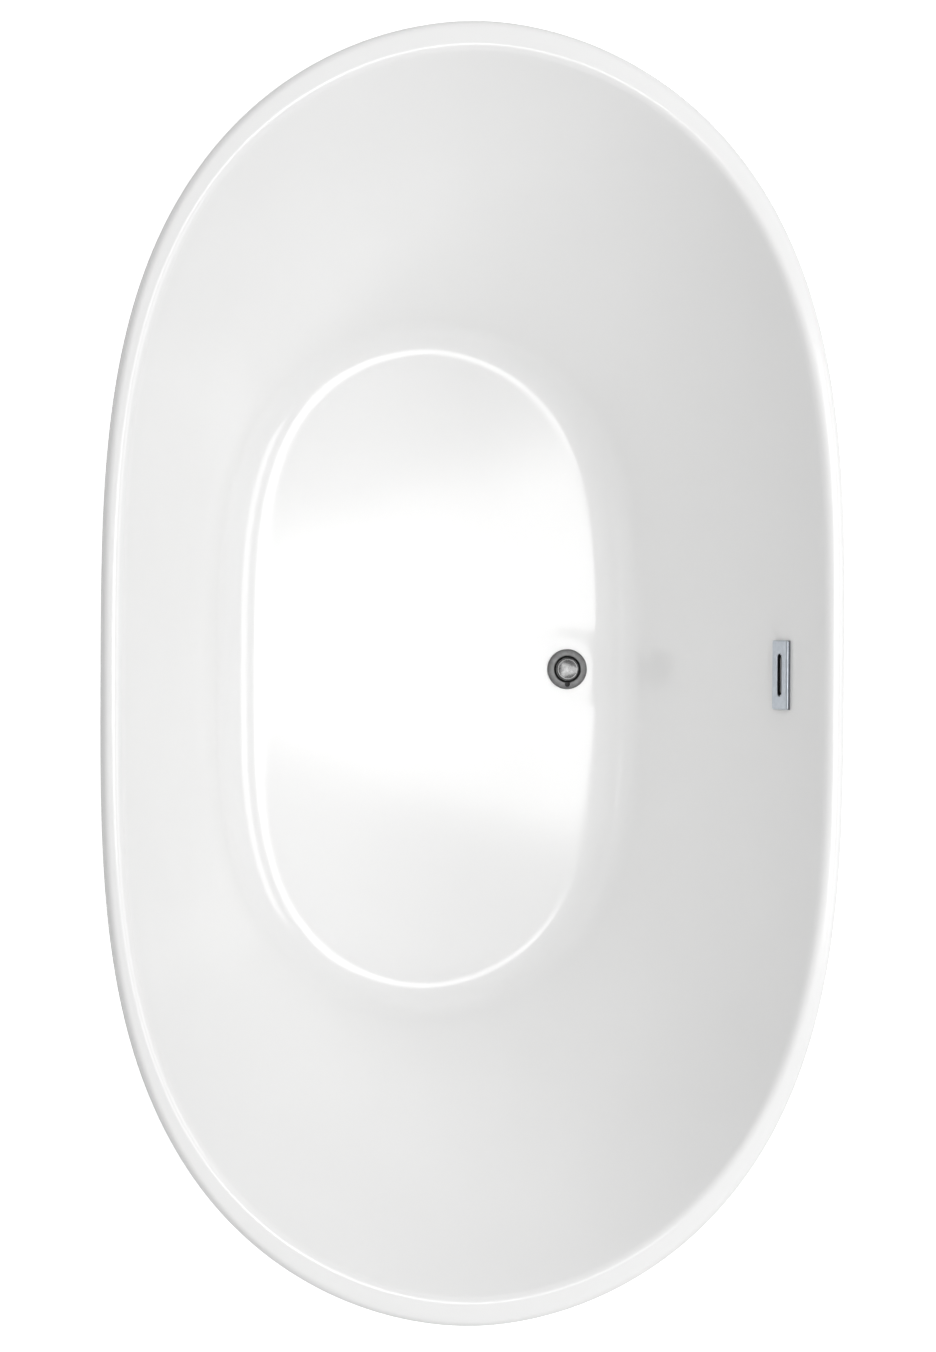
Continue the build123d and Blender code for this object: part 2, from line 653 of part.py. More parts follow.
with BuildPart() as waste_body:
    with BuildSketch(waste_profile):
        with BuildLine():
            Polyline(
                (SHOE_FLANGE_RADIUS, WASHER_LOW),
                (SHOE_FLANGE_RADIUS, WASHER_LOW - SHOE_FLANGE),
                (SHOE_RADIUS, WASHER_LOW - SHOE_FLANGE),
                (SHOE_RADIUS, SHOE_LOW),
                (SOCKET_RADIUS, SHOE_LOW),
                (SOCKET_RADIUS, SHOULDER_Z),
                (SHOULDER_BORE, SHOULDER_Z),
                (SHOULDER_BORE, TUBE_END - 1),
                (TUBE_RADIUS, TUBE_END - 1),
                (TUBE_RADIUS, WASHER_LOW),
                close=True,
            )
        make_face()
    revolve(axis=waste_axis)
    with BuildSketch(Plane.XZ.offset(-SPIGOT_ROOT)):
        with Locations((0, SPIGOT_Z)):
            Circle(HOSE_RADIUS)
    extrude(amount=-(SPIGOT_START - SPIGOT_ROOT))
    with BuildSketch(Plane.XZ.offset(-SPIGOT_START)):
        with Locations((0, SPIGOT_Z)):
            Circle(HOSE_BORE)
    extrude(amount=-SPIGOT_GRIP)
    with BuildSketch(Plane.XZ.offset(-(DRAIN_Y + SHOULDER_BORE - 6))):
        with Locations((0, SPIGOT_Z)):
            Circle(SPIGOT_BORE)
    extrude(amount=-(SPIGOT_START + SPIGOT_GRIP - DRAIN_Y), mode=Mode.SUBTRACT)
waste_body.part.label = "waste_body"
export_step(waste_body.part, "parts/waste_body.step")

SLIP_NUT_LOW = 50.0
SLIP_NUT_HEIGHT = 20.0
SLIP_LIP = 4.0
SLIP_NUT_FLATS = 56.0

with BuildPart() as slip_nut:
    with BuildSketch(waste_plane.offset(SLIP_NUT_LOW)):
        RegularPolygon(SLIP_NUT_FLATS / 2, 8, major_radius=False)
        Circle(TAILPIECE_RADIUS + 0.5, mode=Mode.SUBTRACT)
    extrude(amount=SLIP_NUT_HEIGHT)
    with BuildSketch(waste_plane.offset(SLIP_NUT_LOW + SLIP_LIP)):
        Circle(SHOE_RADIUS)
    extrude(amount=SLIP_NUT_HEIGHT, mode=Mode.SUBTRACT)
slip_nut.part.label = "slip_nut"
export_step(slip_nut.part, "parts/slip_nut.step")

slip_washer = ring(
    SLIP_NUT_LOW + SLIP_LIP, SHOE_LOW, SHOE_RADIUS - 0.2, TAILPIECE_NECK_RADIUS
).moved(waste)
slip_washer.label = "slip_washer"
export_step(slip_washer, "parts/slip_washer.step")

with BuildPart() as tailpiece:
    with BuildSketch(waste_plane.offset(TAILPIECE_END)):
        Circle(TAILPIECE_RADIUS)
    extrude(amount=TAILPIECE_NECK_LOW - TAILPIECE_END)
    with BuildSketch(waste_plane.offset(TAILPIECE_NECK_LOW)):
        Circle(TAILPIECE_NECK_RADIUS)
    extrude(amount=SHOULDER_Z - TAILPIECE_NECK_LOW)
    with BuildSketch(waste_plane.offset(TAILPIECE_END - 1)):
        Circle(TAILPIECE_BORE)
    extrude(amount=SHOULDER_Z, mode=Mode.SUBTRACT)
tailpiece.part.label = "tailpiece"
export_step(tailpiece.part, "parts/tailpiece.step")

# ---------------------------------------------------------------- overflow fitting
WALL_BACK = -ACRYLIC_SIDEWAYS * cos(SIDE_ANGLE)
GASKET_THICKNESS = 2.0
GASKET_BACK = WALL_BACK - GASKET_THICKNESS - 0.05
PLATE_THICKNESS = 2.5
PLATE_BACK = GASKET_BACK - PLATE_THICKNESS
CHAMBER_BACK = -29.0
CHAMBER_MIDDLE = -21.0
CHAMBER_LOW = -19.0
SCREW_SPREAD = 27.0
GASKET_LENGTH = 80.0
GASKET_HEIGHT = 28.0
CHAMBER_LENGTH = 68.0
CHAMBER_BORE_LENGTH = 46.0
MOUTH_HEIGHT = 11.0
FIXING_RADIUS = 1.5
FIXING_HEAD_RADIUS = 3.0
FIXING_HEAD = 1.4
FIXING_BITE = 8.0

with BuildPart() as overflow_gasket:
    with BuildSketch(wall_plane.offset(GASKET_BACK)):
        RectangleRounded(GASKET_LENGTH, GASKET_HEIGHT, 6)
        RectangleRounded(OVERFLOW_HOLE_LENGTH, OVERFLOW_HOLE_HEIGHT, 5, mode=Mode.SUBTRACT)
    extrude(amount=GASKET_THICKNESS)
overflow_gasket.part.label = "overflow_gasket"
export_step(overflow_gasket.part, "parts/overflow_gasket.step")

with BuildPart() as overflow_body:
    with BuildSketch(wall_plane.offset(PLATE_BACK)):
        RectangleRounded(GASKET_LENGTH + 4, GASKET_HEIGHT + 4, 6)
    extrude(amount=PLATE_THICKNESS)
    with BuildSketch(wall_plane.offset(CHAMBER_BACK)):
        RectangleRounded(CHAMBER_LENGTH, 2 * -CHAMBER_LOW - 8, 6)
    extrude(amount=PLATE_BACK - CHAMBER_BACK)
    with BuildSketch(wall_plane.offset(CHAMBER_BACK + 2)):
        RectangleRounded(CHAMBER_BORE_LENGTH, 2 * -CHAMBER_LOW - 12, 4)
    extrude(amount=PLATE_BACK - CHAMBER_BACK - 2, mode=Mode.SUBTRACT)
    with BuildSketch(wall_plane.offset(PLATE_BACK)):
        RectangleRounded(CHAMBER_BORE_LENGTH, MOUTH_HEIGHT, 4)
    extrude(amount=3, mode=Mode.SUBTRACT)
    with BuildSketch(wall_plane.offset(PLATE_BACK - FIXING_BITE)):
        with GridLocations(2 * SCREW_SPREAD, 1, 2, 1):
            Circle(FIXING_RADIUS)
    extrude(amount=12, mode=Mode.SUBTRACT)
overflow_box = overflow_body.part

spigot_plane = Plane(
    origin=wall_plane.from_local_coords((0, CHAMBER_LOW + 6, CHAMBER_MIDDLE)),
    x_dir=(1, 0, 0),
    z_dir=-wall_plane.y_dir,
)
hose_plane = Plane(
    origin=wall_plane.from_local_coords((0, CHAMBER_LOW - 4, CHAMBER_MIDDLE)),
    x_dir=(1, 0, 0),
    z_dir=-wall_plane.y_dir,
)
with BuildPart() as overflow_elbow:
    add(overflow_box)
    with BuildSketch(spigot_plane):
        Circle(HOSE_BORE - 0.5)
    extrude(amount=10)
    with BuildSketch(hose_plane.offset(-4)):
        Circle(HOSE_RADIUS - 3)
    extrude(amount=4)
    with BuildSketch(hose_plane):
        Circle(HOSE_BORE)
    extrude(amount=SPIGOT_GRIP)
    with BuildSketch(spigot_plane.offset(-2)):
        Circle(SPIGOT_BORE - 0.5)
    extrude(amount=60, mode=Mode.SUBTRACT)
overflow_elbow.part.label = "overflow_body"
export_step(overflow_elbow.part, "parts/overflow_body.step")

RETAINER_THICKNESS = 1.2
RETAINER_LENGTH = 76.0
RETAINER_HEIGHT = 24.0
COVER_WALL = 1.5
COVER_EDGE = 1.2

with BuildPart() as overflow_retainer:
    with BuildSketch(wall_plane):
        RectangleRounded(RETAINER_LENGTH, RETAINER_HEIGHT, 3)
        RectangleRounded(CHAMBER_BORE_LENGTH, MOUTH_HEIGHT, 4, mode=Mode.SUBTRACT)
        with GridLocations(2 * SCREW_SPREAD, 1, 2, 1):
            Circle(FIXING_RADIUS, mode=Mode.SUBTRACT)
    extrude(amount=RETAINER_THICKNESS)
overflow_retainer.part.label = "overflow_retainer"
export_step(overflow_retainer.part, "parts/overflow_retainer.step")

with BuildPart() as overflow_screws:
    with BuildSketch(wall_plane.offset(PLATE_BACK - FIXING_BITE)):
        with GridLocations(2 * SCREW_SPREAD, 1, 2, 1):
            Circle(FIXING_RADIUS)
    extrude(amount=RETAINER_THICKNESS - PLATE_BACK + FIXING_BITE)
    with BuildSketch(wall_plane.offset(RETAINER_THICKNESS)):
        with GridLocations(2 * SCREW_SPREAD, 1, 2, 1):
            Circle(FIXING_HEAD_RADIUS)
    extrude(amount=FIXING_HEAD)
overflow_screws.part.label = "overflow_screws"
export_step(overflow_screws.part, "parts/overflow_screws.step")

with BuildPart() as overflow_cover:
    with BuildSketch(wall_plane):
        RectangleRounded(COVER_LENGTH, COVER_HEIGHT, 2)
    extrude(amount=COVER_DEPTH)
    fillet(overflow_cover.faces().sort_by(wall_axis)[-1].edges(), COVER_EDGE)
    with BuildSketch(wall_plane):
        RectangleRounded(COVER_LENGTH - 2 * COVER_WALL, COVER_HEIGHT - 2 * COVER_WALL, 1)
    extrude(amount=COVER_DEPTH - COVER_WALL, mode=Mode.SUBTRACT)
    with BuildSketch(wall_plane):
        SlotOverall(SLOT_LENGTH, SLOT_HEIGHT)
    extrude(amount=2 * COVER_DEPTH, mode=Mode.SUBTRACT)
overflow_cover.part.label = "overflow_cover"
export_step(overflow_cover.part, "parts/overflow_cover.step")

# ---------------------------------------------------------------- overflow hose
HOSE_BEND = 50.0
hose_top = hose_plane.origin
hose_corner = Vector(0, hose_top.Y - (hose_top.Z - SPIGOT_Z) * SIDE_SLOPE, SPIGOT_Z)
with BuildPart() as overflow_hose:
    with BuildLine():
        hose_route = FilletPolyline(
            (0, SPIGOT_START, SPIGOT_Z), hose_corner, hose_top, radius=HOSE_BEND
        )
    with BuildSketch(Plane.XZ.offset(-SPIGOT_START)):
        with Locations((0, SPIGOT_Z)):
            Circle(HOSE_RADIUS)
            Circle(HOSE_BORE, mode=Mode.SUBTRACT)
    sweep()
overflow_hose.part.label = "overflow_hose"
export_step(overflow_hose.part, "parts/overflow_hose.step")
hose_section = pi * (HOSE_RADIUS**2 - HOSE_BORE**2)
print("hose length", round(hose_route.length, 1), "bend radius", HOSE_BEND)
print("hose volume share", overflow_hose.part.volume / (hose_section * hose_route.length))

CLAMP_WIDTH = 8.0
CLAMP_THICKNESS = 1.0
CLAMP_BOX = 7.0
waste_clamp_plane = Plane(origin=(0, SPIGOT_START + 5, SPIGOT_Z), x_dir=(1, 0, 0), z_dir=(0, 1, 0))
hose_clamps = (
    ("hose_clamp_waste", waste_clamp_plane),
    ("hose_clamp_overflow", hose_plane.offset(5)),
)
for node, clamp_plane in hose_clamps:
    with BuildPart() as clamp:
        with BuildSketch(clamp_plane):
            Circle(HOSE_RADIUS + CLAMP_THICKNESS)
            with Locations((HOSE_RADIUS + 3, 0)):
                Rectangle(CLAMP_BOX, CLAMP_BOX + 2)
            Circle(HOSE_RADIUS, mode=Mode.SUBTRACT)
        extrude(amount=CLAMP_WIDTH)
    clamp.part.label = node
    export_step(clamp.part, "parts/" + node + ".step")
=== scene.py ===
import json
import math

import bmesh
import bpy
from mathutils import Matrix, Vector


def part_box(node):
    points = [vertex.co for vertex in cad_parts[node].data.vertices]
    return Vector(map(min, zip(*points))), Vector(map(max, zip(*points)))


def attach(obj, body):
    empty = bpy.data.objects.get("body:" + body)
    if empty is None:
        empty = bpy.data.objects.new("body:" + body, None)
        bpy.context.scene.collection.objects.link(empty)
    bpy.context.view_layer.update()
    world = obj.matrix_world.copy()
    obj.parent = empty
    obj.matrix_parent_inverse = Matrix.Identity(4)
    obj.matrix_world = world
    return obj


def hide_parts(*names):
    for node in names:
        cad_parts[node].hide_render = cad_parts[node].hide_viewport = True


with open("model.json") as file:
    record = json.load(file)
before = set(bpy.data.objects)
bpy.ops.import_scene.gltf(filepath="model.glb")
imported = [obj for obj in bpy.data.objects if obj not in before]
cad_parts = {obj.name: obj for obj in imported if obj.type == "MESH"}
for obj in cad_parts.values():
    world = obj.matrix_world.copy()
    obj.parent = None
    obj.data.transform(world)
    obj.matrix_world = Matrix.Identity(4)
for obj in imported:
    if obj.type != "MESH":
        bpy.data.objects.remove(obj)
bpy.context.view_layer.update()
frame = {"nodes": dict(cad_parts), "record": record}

# ---------------------------------------------------------------- sizes, in metres
# The rim's half sizes and height come from the frame. The others are part.py's driving dimensions.
basin_low, basin_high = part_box("inner_basin")
RIM_A = basin_high.x
RIM_B = basin_high.y
RIM_Z = basin_high.z
LENGTH_POWER = 3.25
WIDTH_POWER = 1.907
FLOOR_Z = RIM_Z - 0.440
TOP_A = 0.736
TOP_B = 0.421
FLOOR_A = 0.432
FLOOR_B = 0.259
FLOOR_FILLET = 0.086
ACRYLIC = 0.005
ACRYLIC_SIDEWAYS = 0.0055
LIP_Z = RIM_Z - 0.025
OUTER_FILLET = 0.009
INNER_FILLET = 0.014
END_SLOPE = (TOP_A - FLOOR_A) / 0.440
SIDE_SLOPE = (TOP_B - FLOOR_B) / 0.440
SKIRT_A = 0.7625
SKIRT_B = 0.4365
SKIRT_BASE_A = 0.610
SKIRT_BASE_B = 0.305
SKIRT_TOP = 0.583
SKIRT_LOW = 0.006
SKIRT_BULGE = 1.8
SKIRT_WALL = 0.005
SKIRT_RETURN = 0.014
DRAIN = Vector((0.0, 0.184, 0.0))
WALL_POINT = Vector((0.0, FLOOR_B + (0.498 - FLOOR_Z) * SIDE_SLOPE, 0.498))
WALL_ANGLE = math.atan(SIDE_SLOPE)

# The basin's two holes: the waste's is round, the overflow's is (length, height, corner radius).
WASTE_HOLE_RADIUS = 0.0186
WASTE_HOLE_LOW = 0.12
WASTE_HOLE_HIGH = 0.17
OVERFLOW_HOLE = (0.062, 0.015, 0.005)
OVERFLOW_HOLE_REACH = 0.02

# ---------------------------------------------------------------- camera
VIEW_DISTANCE = 4.4
VIEW_TILT = math.radians(8.7)
VIEW_LEAN = math.radians(-1.16)
VIEW_ROLL = math.radians(0.32)
AIM = Vector((0.0002, -0.0136, RIM_Z))
LENS = 99.75


def make_camera():
    data = bpy.data.cameras.new("camera")
    data.lens = LENS
    data.sensor_width = 36.0
    data.clip_start = 0.1
    data.clip_end = 200.0
    camera = bpy.data.objects.new("camera", data)
    bpy.context.scene.collection.objects.link(camera)
    # From the aim point to the camera: up, leaning to the tub's -Y side and slightly to its -X end.
    back = Vector((math.sin(VIEW_LEAN), -math.sin(VIEW_TILT), 0.0))
    back.z = math.sqrt(1 - back.length_squared)
    picture_up = Vector((-1.0, 0.0, 0.0))
    right = picture_up.cross(back).normalized()
    up = back.cross(right).normalized()
    turn = Matrix((right, up, back)).transposed().to_4x4()
    camera.matrix_world = (
        Matrix.Translation(AIM + back * VIEW_DISTANCE) @ turn @ Matrix.Rotation(VIEW_ROLL, 4, "Z")
    )
    bpy.context.scene.camera = camera


make_camera()


# ---------------------------------------------------------------- material helpers
class Nodes:
    """A new material with its Principled shader, and short ways to add texture nodes to it."""

    def __init__(self, name):
        self.material = bpy.data.materials.new(name)
        self.material.use_nodes = True
        self.tree = self.material.node_tree
        self.bsdf = self.tree.nodes["Principled BSDF"]
        self.coordinates = self.tree.nodes.new("ShaderNodeTexCoord").outputs["Object"]

    def link(self, source, target):
        self.tree.links.new(source, target)

    def set(self, **values):
        for key, value in values.items():
            self.bsdf.inputs[key.replace("_", " ")].default_value = value

    def stretch(self, scale):
        node = self.tree.nodes.new("ShaderNodeMapping")
        node.inputs["Scale"].default_value = scale
        self.link(self.coordinates, node.inputs["Vector"])
        return node.outputs["Vector"]

    def noise(self, scale, detail=3.0, rough=0.5, vector=None, distortion=0.0):
        node = self.tree.nodes.new("ShaderNodeTexNoise")
        node.inputs["Scale"].default_value = scale
        node.inputs["Detail"].default_value = detail
        node.inputs["Roughness"].default_value = rough
        node.inputs["Distortion"].default_value = distortion
        self.link(vector or self.coordinates, node.inputs["Vector"])
        return node.outputs["Fac"]

    def cells(self, scale, feature="F1", output="Distance", vector=None):
        node = self.tree.nodes.new("ShaderNodeTexVoronoi")
        node.feature = feature
        node.inputs["Scale"].default_value = scale
        self.link(vector or self.coordinates, node.inputs["Vector"])
        return node.outputs[output]

    def ramp(self, source, low, high, start=0.35, end=0.65):
        node = self.tree.nodes.new("ShaderNodeValToRGB")
        node.color_ramp.elements[0].position = start
        node.color_ramp.elements[1].position = end
        node.color_ramp.elements[0].color = low
        node.color_ramp.elements[1].color = high
        self.link(source, node.inputs["Fac"])
        return node.outputs["Color"]

    def bump(self, source, strength, distance, after=None):
        node = self.tree.nodes.new("ShaderNodeBump")
        node.inputs["Strength"].default_value = strength
        node.inputs["Distance"].default_value = distance
        self.link(source, node.inputs["Height"])
        if after is not None:
            self.link(after, node.inputs["Normal"])
        self.link(node.outputs["Normal"], self.bsdf.inputs["Normal"])
        return node.outputs["Normal"]

    def color(self, source, low, high, start=0.35, end=0.65):
        self.link(self.ramp(source, low, high, start, end), self.bsdf.inputs["Base Color"])

    def rough(self, source, low, high, start=0.35, end=0.65):
        shade = self.ramp(source, grey(low), grey(high), start, end)
        self.link(shade, self.bsdf.inputs["Roughness"])


def grey(value):
    return (value, value, value, 1.0)


def rgb(red, green, blue):
    return (red, green, blue, 1.0)


# ---------------------------------------------------------------- materials
def acrylic_material(name, low, high):
    """Glossy cast sheet: faint cloudiness, slow waves left by forming, and a fine orange peel."""
    m = Nodes(name)
    m.color(m.noise(3.0, 2.0), low, high)
    m.rough(m.noise(9.0, 4.0), 0.11, 0.14)
    m.set(IOR=1.49)
    waves = m.bump(m.noise(5.0, 1.5), 0.35, 0.0016)
    m.bump(m.noise(260.0, 2.0), 0.04, 0.0002, waves)
    return m.material


def fibreglass_material():
    m = Nodes("sprayed_fibreglass")
    strands = m.noise(70.0, 5.0, 0.7, m.stretch((1.0, 4.0, 1.0)), 1.5)
    m.color(strands, rgb(0.56, 0.52, 0.38), rgb(0.74, 0.71, 0.58))
    m.rough(m.noise(40.0, 4.0), 0.35, 0.7)
    blobs = m.bump(m.noise(28.0, 3.0), 0.6, 0.002)
    m.bump(strands, 0.6, 0.0008, blobs)
    return m.material


def sealant_material():
    m = Nodes("white_sealant")
    m.color(m.noise(60.0), rgb(0.78, 0.78, 0.74), rgb(0.86, 0.86, 0.83))
    m.rough(m.noise(90.0), 0.4, 0.6)
    m.bump(m.noise(120.0, 3.0), 0.4, 0.0006)
    return m.material


def board_material():
    m = Nodes("chipboard")
    chips = m.cells(260.0, "F1", "Color", m.stretch((1.0, 1.6, 1.2)))
    m.color(chips, rgb(0.34, 0.23, 0.13), rgb(0.64, 0.49, 0.31), 0.1, 0.9)
    m.rough(m.noise(150.0), 0.6, 0.85)
    m.bump(m.cells(260.0, "F1", "Distance", m.stretch((1.0, 1.6, 1.2))), 0.4, 0.0005)
    return m.material


def powder_coat_material():
    m = Nodes("powder_coated_steel")
    m.color(m.noise(45.0, 5.0), rgb(0.026, 0.028, 0.031), rgb(0.048, 0.050, 0.054))
    m.rough(m.noise(300.0), 0.38, 0.52)
    m.bump(m.noise(900.0, 2.0), 0.25, 0.0002)
    return m.material


def zinc_material():
    m = Nodes("zinc_plated_steel")
    spangle = m.cells(500.0, "F1", "Color")
    m.color(spangle, rgb(0.50, 0.51, 0.52), rgb(0.66, 0.67, 0.67), 0.2, 0.8)
    m.rough(m.noise(180.0, 4.0), 0.24, 0.42)
    m.set(Metallic=1.0)
    m.bump(m.noise(700.0, 3.0), 0.12, 0.0001)
    return m.material


def rubber_material(name, low, high):
    m = Nodes(name)
    m.color(m.noise(90.0, 4.0), low, high)
    m.rough(m.noise(240.0), 0.55, 0.75)
    m.bump(m.noise(1100.0, 2.0), 0.3, 0.00015)
    return m.material


def moulded_material(name, low, high, rough_low, rough_high):
    m = Nodes(name)
    m.color(m.noise(35.0, 4.0), low, high)
    m.rough(m.noise(120.0, 3.0), rough_low, rough_high)
    m.bump(m.noise(420.0, 3.0), 0.12, 0.00012)
    return m.material


def brass_material():
    m = Nodes("turned_brass")
    lines = m.noise(60.0, 2.0, 0.5, m.stretch((1.0, 1.0, 60.0)))
    m.color(m.noise(120.0, 3.0), rgb(0.62, 0.46, 0.20), rgb(0.76, 0.59, 0.29))
    m.rough(lines, 0.22, 0.38)
    m.set(Metallic=1.0)
    m.bump(lines, 0.15, 0.0001)
    return m.material


def satin_metal(name, low, high, rough_low, rough_high, turned):
    """Satin plated metal; turned puts faint lathe rings round the waste's axis."""
    m = Nodes(name)
    m.color(m.noise(160.0, 4.0), low, high)
    m.set(Metallic=1.0)
    if turned:
        place = m.tree.nodes.new("ShaderNodeMapping")
        place.inputs["Location"].default_value = (0.0, -DRAIN.y, 0.0)
        m.link(m.coordinates, place.inputs["Vector"])
        rings = m.tree.nodes.new("ShaderNodeTexWave")
        rings.wave_type = "RINGS"
        rings.rings_direction = "Z"
        rings.inputs["Scale"].default_value = 190.0
        rings.inputs["Distortion"].default_value = 0.6
        rings.inputs["Detail"].default_value = 2.0
        m.link(place.outputs["Vector"], rings.inputs["Vector"])
        grain = rings.outputs["Fac"]
    else:
        grain = m.noise(90.0, 4.0, 0.6, m.stretch((1.0, 25.0, 25.0)))
    m.rough(grain, rough_low, rough_high)
    m.bump(grain, 0.06, 0.00006)
    return m.material


finishes = {
    "basin_acrylic": acrylic_material(
        "white_acrylic", rgb(0.900, 0.900, 0.897), rgb(0.915, 0.915, 0.912)),
    "skirt_acrylic": acrylic_material(
        "skirt_acrylic", rgb(0.890, 0.890, 0.887), rgb(0.905, 0.905, 0.902)),
    "fibreglass": fibreglass_material(),
    "sealant": sealant_material(),
    "board": board_material(),
    "frame_steel": powder_coat_material(),
    "fastener_steel": zinc_material(),
    "foot_rubber": rubber_material("foot_rubber", grey(0.018), grey(0.032)),
    "cap_plastic": moulded_material("black_plastic", grey(0.012), grey(0.022), 0.35, 0.5),
    "chrome_trim": satin_metal("satin_chrome", grey(0.17), grey(0.22), 0.46, 0.56, True),
    "brass": brass_material(),
    "seal_rubber": rubber_material("seal_rubber", grey(0.02), grey(0.04)),
    "pipe_plastic": moulded_material("white_pipe_plastic", grey(0.74), grey(0.80), 0.28, 0.40),
    "hose_plastic": moulded_material(
        "grey_hose_plastic", rgb(0.42, 0.44, 0.46), rgb(0.52, 0.54, 0.56), 0.35, 0.5),
}
cap_metal = satin_metal("stopper_chrome", grey(0.09), grey(0.12), 0.12, 0.17, True)
cover_metal = satin_metal(
    "cover_chrome", rgb(0.52, 0.56, 0.61), rgb(0.58, 0.62, 0.67), 0.32, 0.40, False)
# Near-black metal for the walls of the flange's finger notch: painted shade that stands in for the
# dark of the recess.
notch_painted_shade = satin_metal("notch_painted_shade_metal", grey(0.03), grey(0.05), 0.5, 0.6, False)
# A darker copy of the cover's chrome for its upright sides: painted shade on faces that show dark.
cover_sides_painted_shade = satin_metal(
    "cover_sides_painted_shade", rgb(0.14, 0.15, 0.17), rgb(0.18, 0.19, 0.21), 0.42, 0.50, False)

node_slots = {row["node"]: row["material_slot"] for row in frame["record"]["subparts"]}
for name, node in frame["nodes"].items():
    node.data.materials.clear()
    node.data.materials.append(finishes[node_slots[name]])
node_bodies = {
    name: body
    for body, members in frame["record"]["behaviour"]["bodies"].items()
    for name in members
}


# ---------------------------------------------------------------- mesh helpers
def new_object(name, mesh):
    made = bpy.data.objects.new(name, mesh)
    bpy.context.scene.collection.objects.link(made)
    return made


def build_into(mesh, build):
    """Adds the closed shapes that build makes to mesh, and shades all of it smooth."""
    bm = bmesh.new()
    build(bm)
    bmesh.ops.recalc_face_normals(bm, faces=bm.faces[:])
    bm.from_mesh(mesh)
    bm.to_mesh(mesh)
    bm.free()
    mesh.polygons.foreach_set("use_smooth", [True] * len(mesh.polygons))


def sharpen(mesh, degrees):
    """Makes the edges sharp where faces meet at more than that angle."""
    mesh.set_sharp_from_angle(angle=math.radians(degrees))


def make_piece(name, node, build, material=None, smooth_angle=None):
    """A mesh object that rides on node's body, stands for node and has its finish."""
    mesh = bpy.data.meshes.new(name)
    build_into(mesh, build)
    if smooth_angle is not None:
        sharpen(mesh, smooth_angle)
    mesh.materials.append(material or finishes[node_slots[node]])
    piece = new_object(name, mesh)
    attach(piece, node_bodies[node])
    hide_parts(node)
    return piece


def strip(bm, rings, closed_profile=False):
    """Quads between rings of vertices; a ring of one vertex closes the shape with a fan."""
    pairs = list(zip(rings, rings[1:]))
    if closed_profile:
        pairs.append((rings[-1], rings[0]))
    for one, two in pairs:
        count = max(len(one), len(two))
        for i in range(count):
            j = (i + 1) % count
            if len(one) == 1:
                bm.faces.new((one[0], two[i], two[j]))
            elif len(two) == 1:
                bm.faces.new((one[j], one[i], two[0]))
            else:
                bm.faces.new((one[j], one[i], two[i], two[j]))


def rounded(corners, steps=4):
    """Points of a closed profile whose corners (u, v, radius) are rounded by arcs."""
    points = []
    count = len(corners)
    for i, (u, v, radius) in enumerate(corners):
        here = Vector((u, v))
        before = Vector(corners[i - 1][:2]) - here
        after = Vector(corners[(i + 1) % count][:2]) - here
        if radius == 0:
            points.append((u, v))
            continue
        half = before.angle(after) / 2
        reach = radius / math.tan(half)
        start = here + before.normalized() * reach
        end = here + after.normalized() * reach
        middle = (before.normalized() + after.normalized()).normalized()
        centre = here + middle * (radius / math.sin(half))
        first = start - centre
        last = end - centre
        turn = first.angle_signed(last)
        for step in range(steps + 1):
            spin = Matrix.Rotation(-turn * step / steps, 2)
            spot = centre + spin @ first
            points.append((spot.x, spot.y))
    return points


def lathe(bm, profile, centre, segments, limit=None):
    """Revolves a closed profile of (radius, height) about a vertical axis at centre.
    limit(angle) is the largest radius at that angle."""
    rings = []
    for radius, height in profile:
        spots = []
        for i in range(segments if radius > 0 else 1):
            angle = 2 * math.pi * i / segments
            reach = min(radius, limit(angle)) if limit else radius
            spots.append(Vector((reach * math.cos(angle), reach * math.sin(angle), height)))
        rings.append([bm.verts.new(centre + spot) for spot in spots])
    on_axis = len(rings[0]) == 1 and len(rings[-1]) == 1
    strip(bm, rings, closed_profile=not on_axis)


def hexagon(flats):
    """Largest radius at each angle of a hexagon of that width across flats."""

    def limit(angle):
        off = (angle + math.pi / 6) % (math.pi / 3) - math.pi / 6
        return flats / 2 / math.cos(off)

    return limit


def cut(piece, build, finish=0):
    """Takes the closed shape that build makes out of piece. The faces that this leaves get the
    material whose place in piece's list is finish."""
    mesh = bpy.data.meshes.new("cutter")
    build_into(mesh, build)
    mesh.polygons.foreach_set("material_index", [finish] * len(mesh.polygons))
    cutter = new_object("cutter", mesh)
    modifier = piece.modifiers.new("cut", "BOOLEAN")
    modifier.operation = "DIFFERENCE"
    modifier.object = cutter
    modifier.solver = "EXACT"
    bpy.context.view_layer.update()
    evaluated = piece.evaluated_get(bpy.context.evaluated_depsgraph_get())
    piece_mesh = bpy.data.meshes.new_from_object(evaluated)
    piece.modifiers.clear()
    piece.data = piece_mesh
    bpy.data.objects.remove(cutter)


# ---------------------------------------------------------------- ovals
def oval(angle, half_length, half_width):
    c = math.cos(angle)
    s = math.sin(angle)
    return Vector((
        math.copysign(abs(c) ** (2 / LENGTH_POWER), c) * half_length,
        math.copysign(abs(s) ** (2 / WIDTH_POWER), s) * half_width,
        0.0,
    ))


def oval_normal(angle, half_length, half_width):
    spot = oval(angle, half_length, half_width)
    share_x = abs(spot.x) / half_length
    share_y = abs(spot.y) / half_width
    normal = Vector((
        math.copysign(LENGTH_POWER * share_x ** (LENGTH_POWER - 1) / half_length, spot.x),
        math.copysign(WIDTH_POWER * share_y ** (WIDTH_POWER - 1) / half_width, spot.y),
        0.0,
    ))
    return normal.normalized()


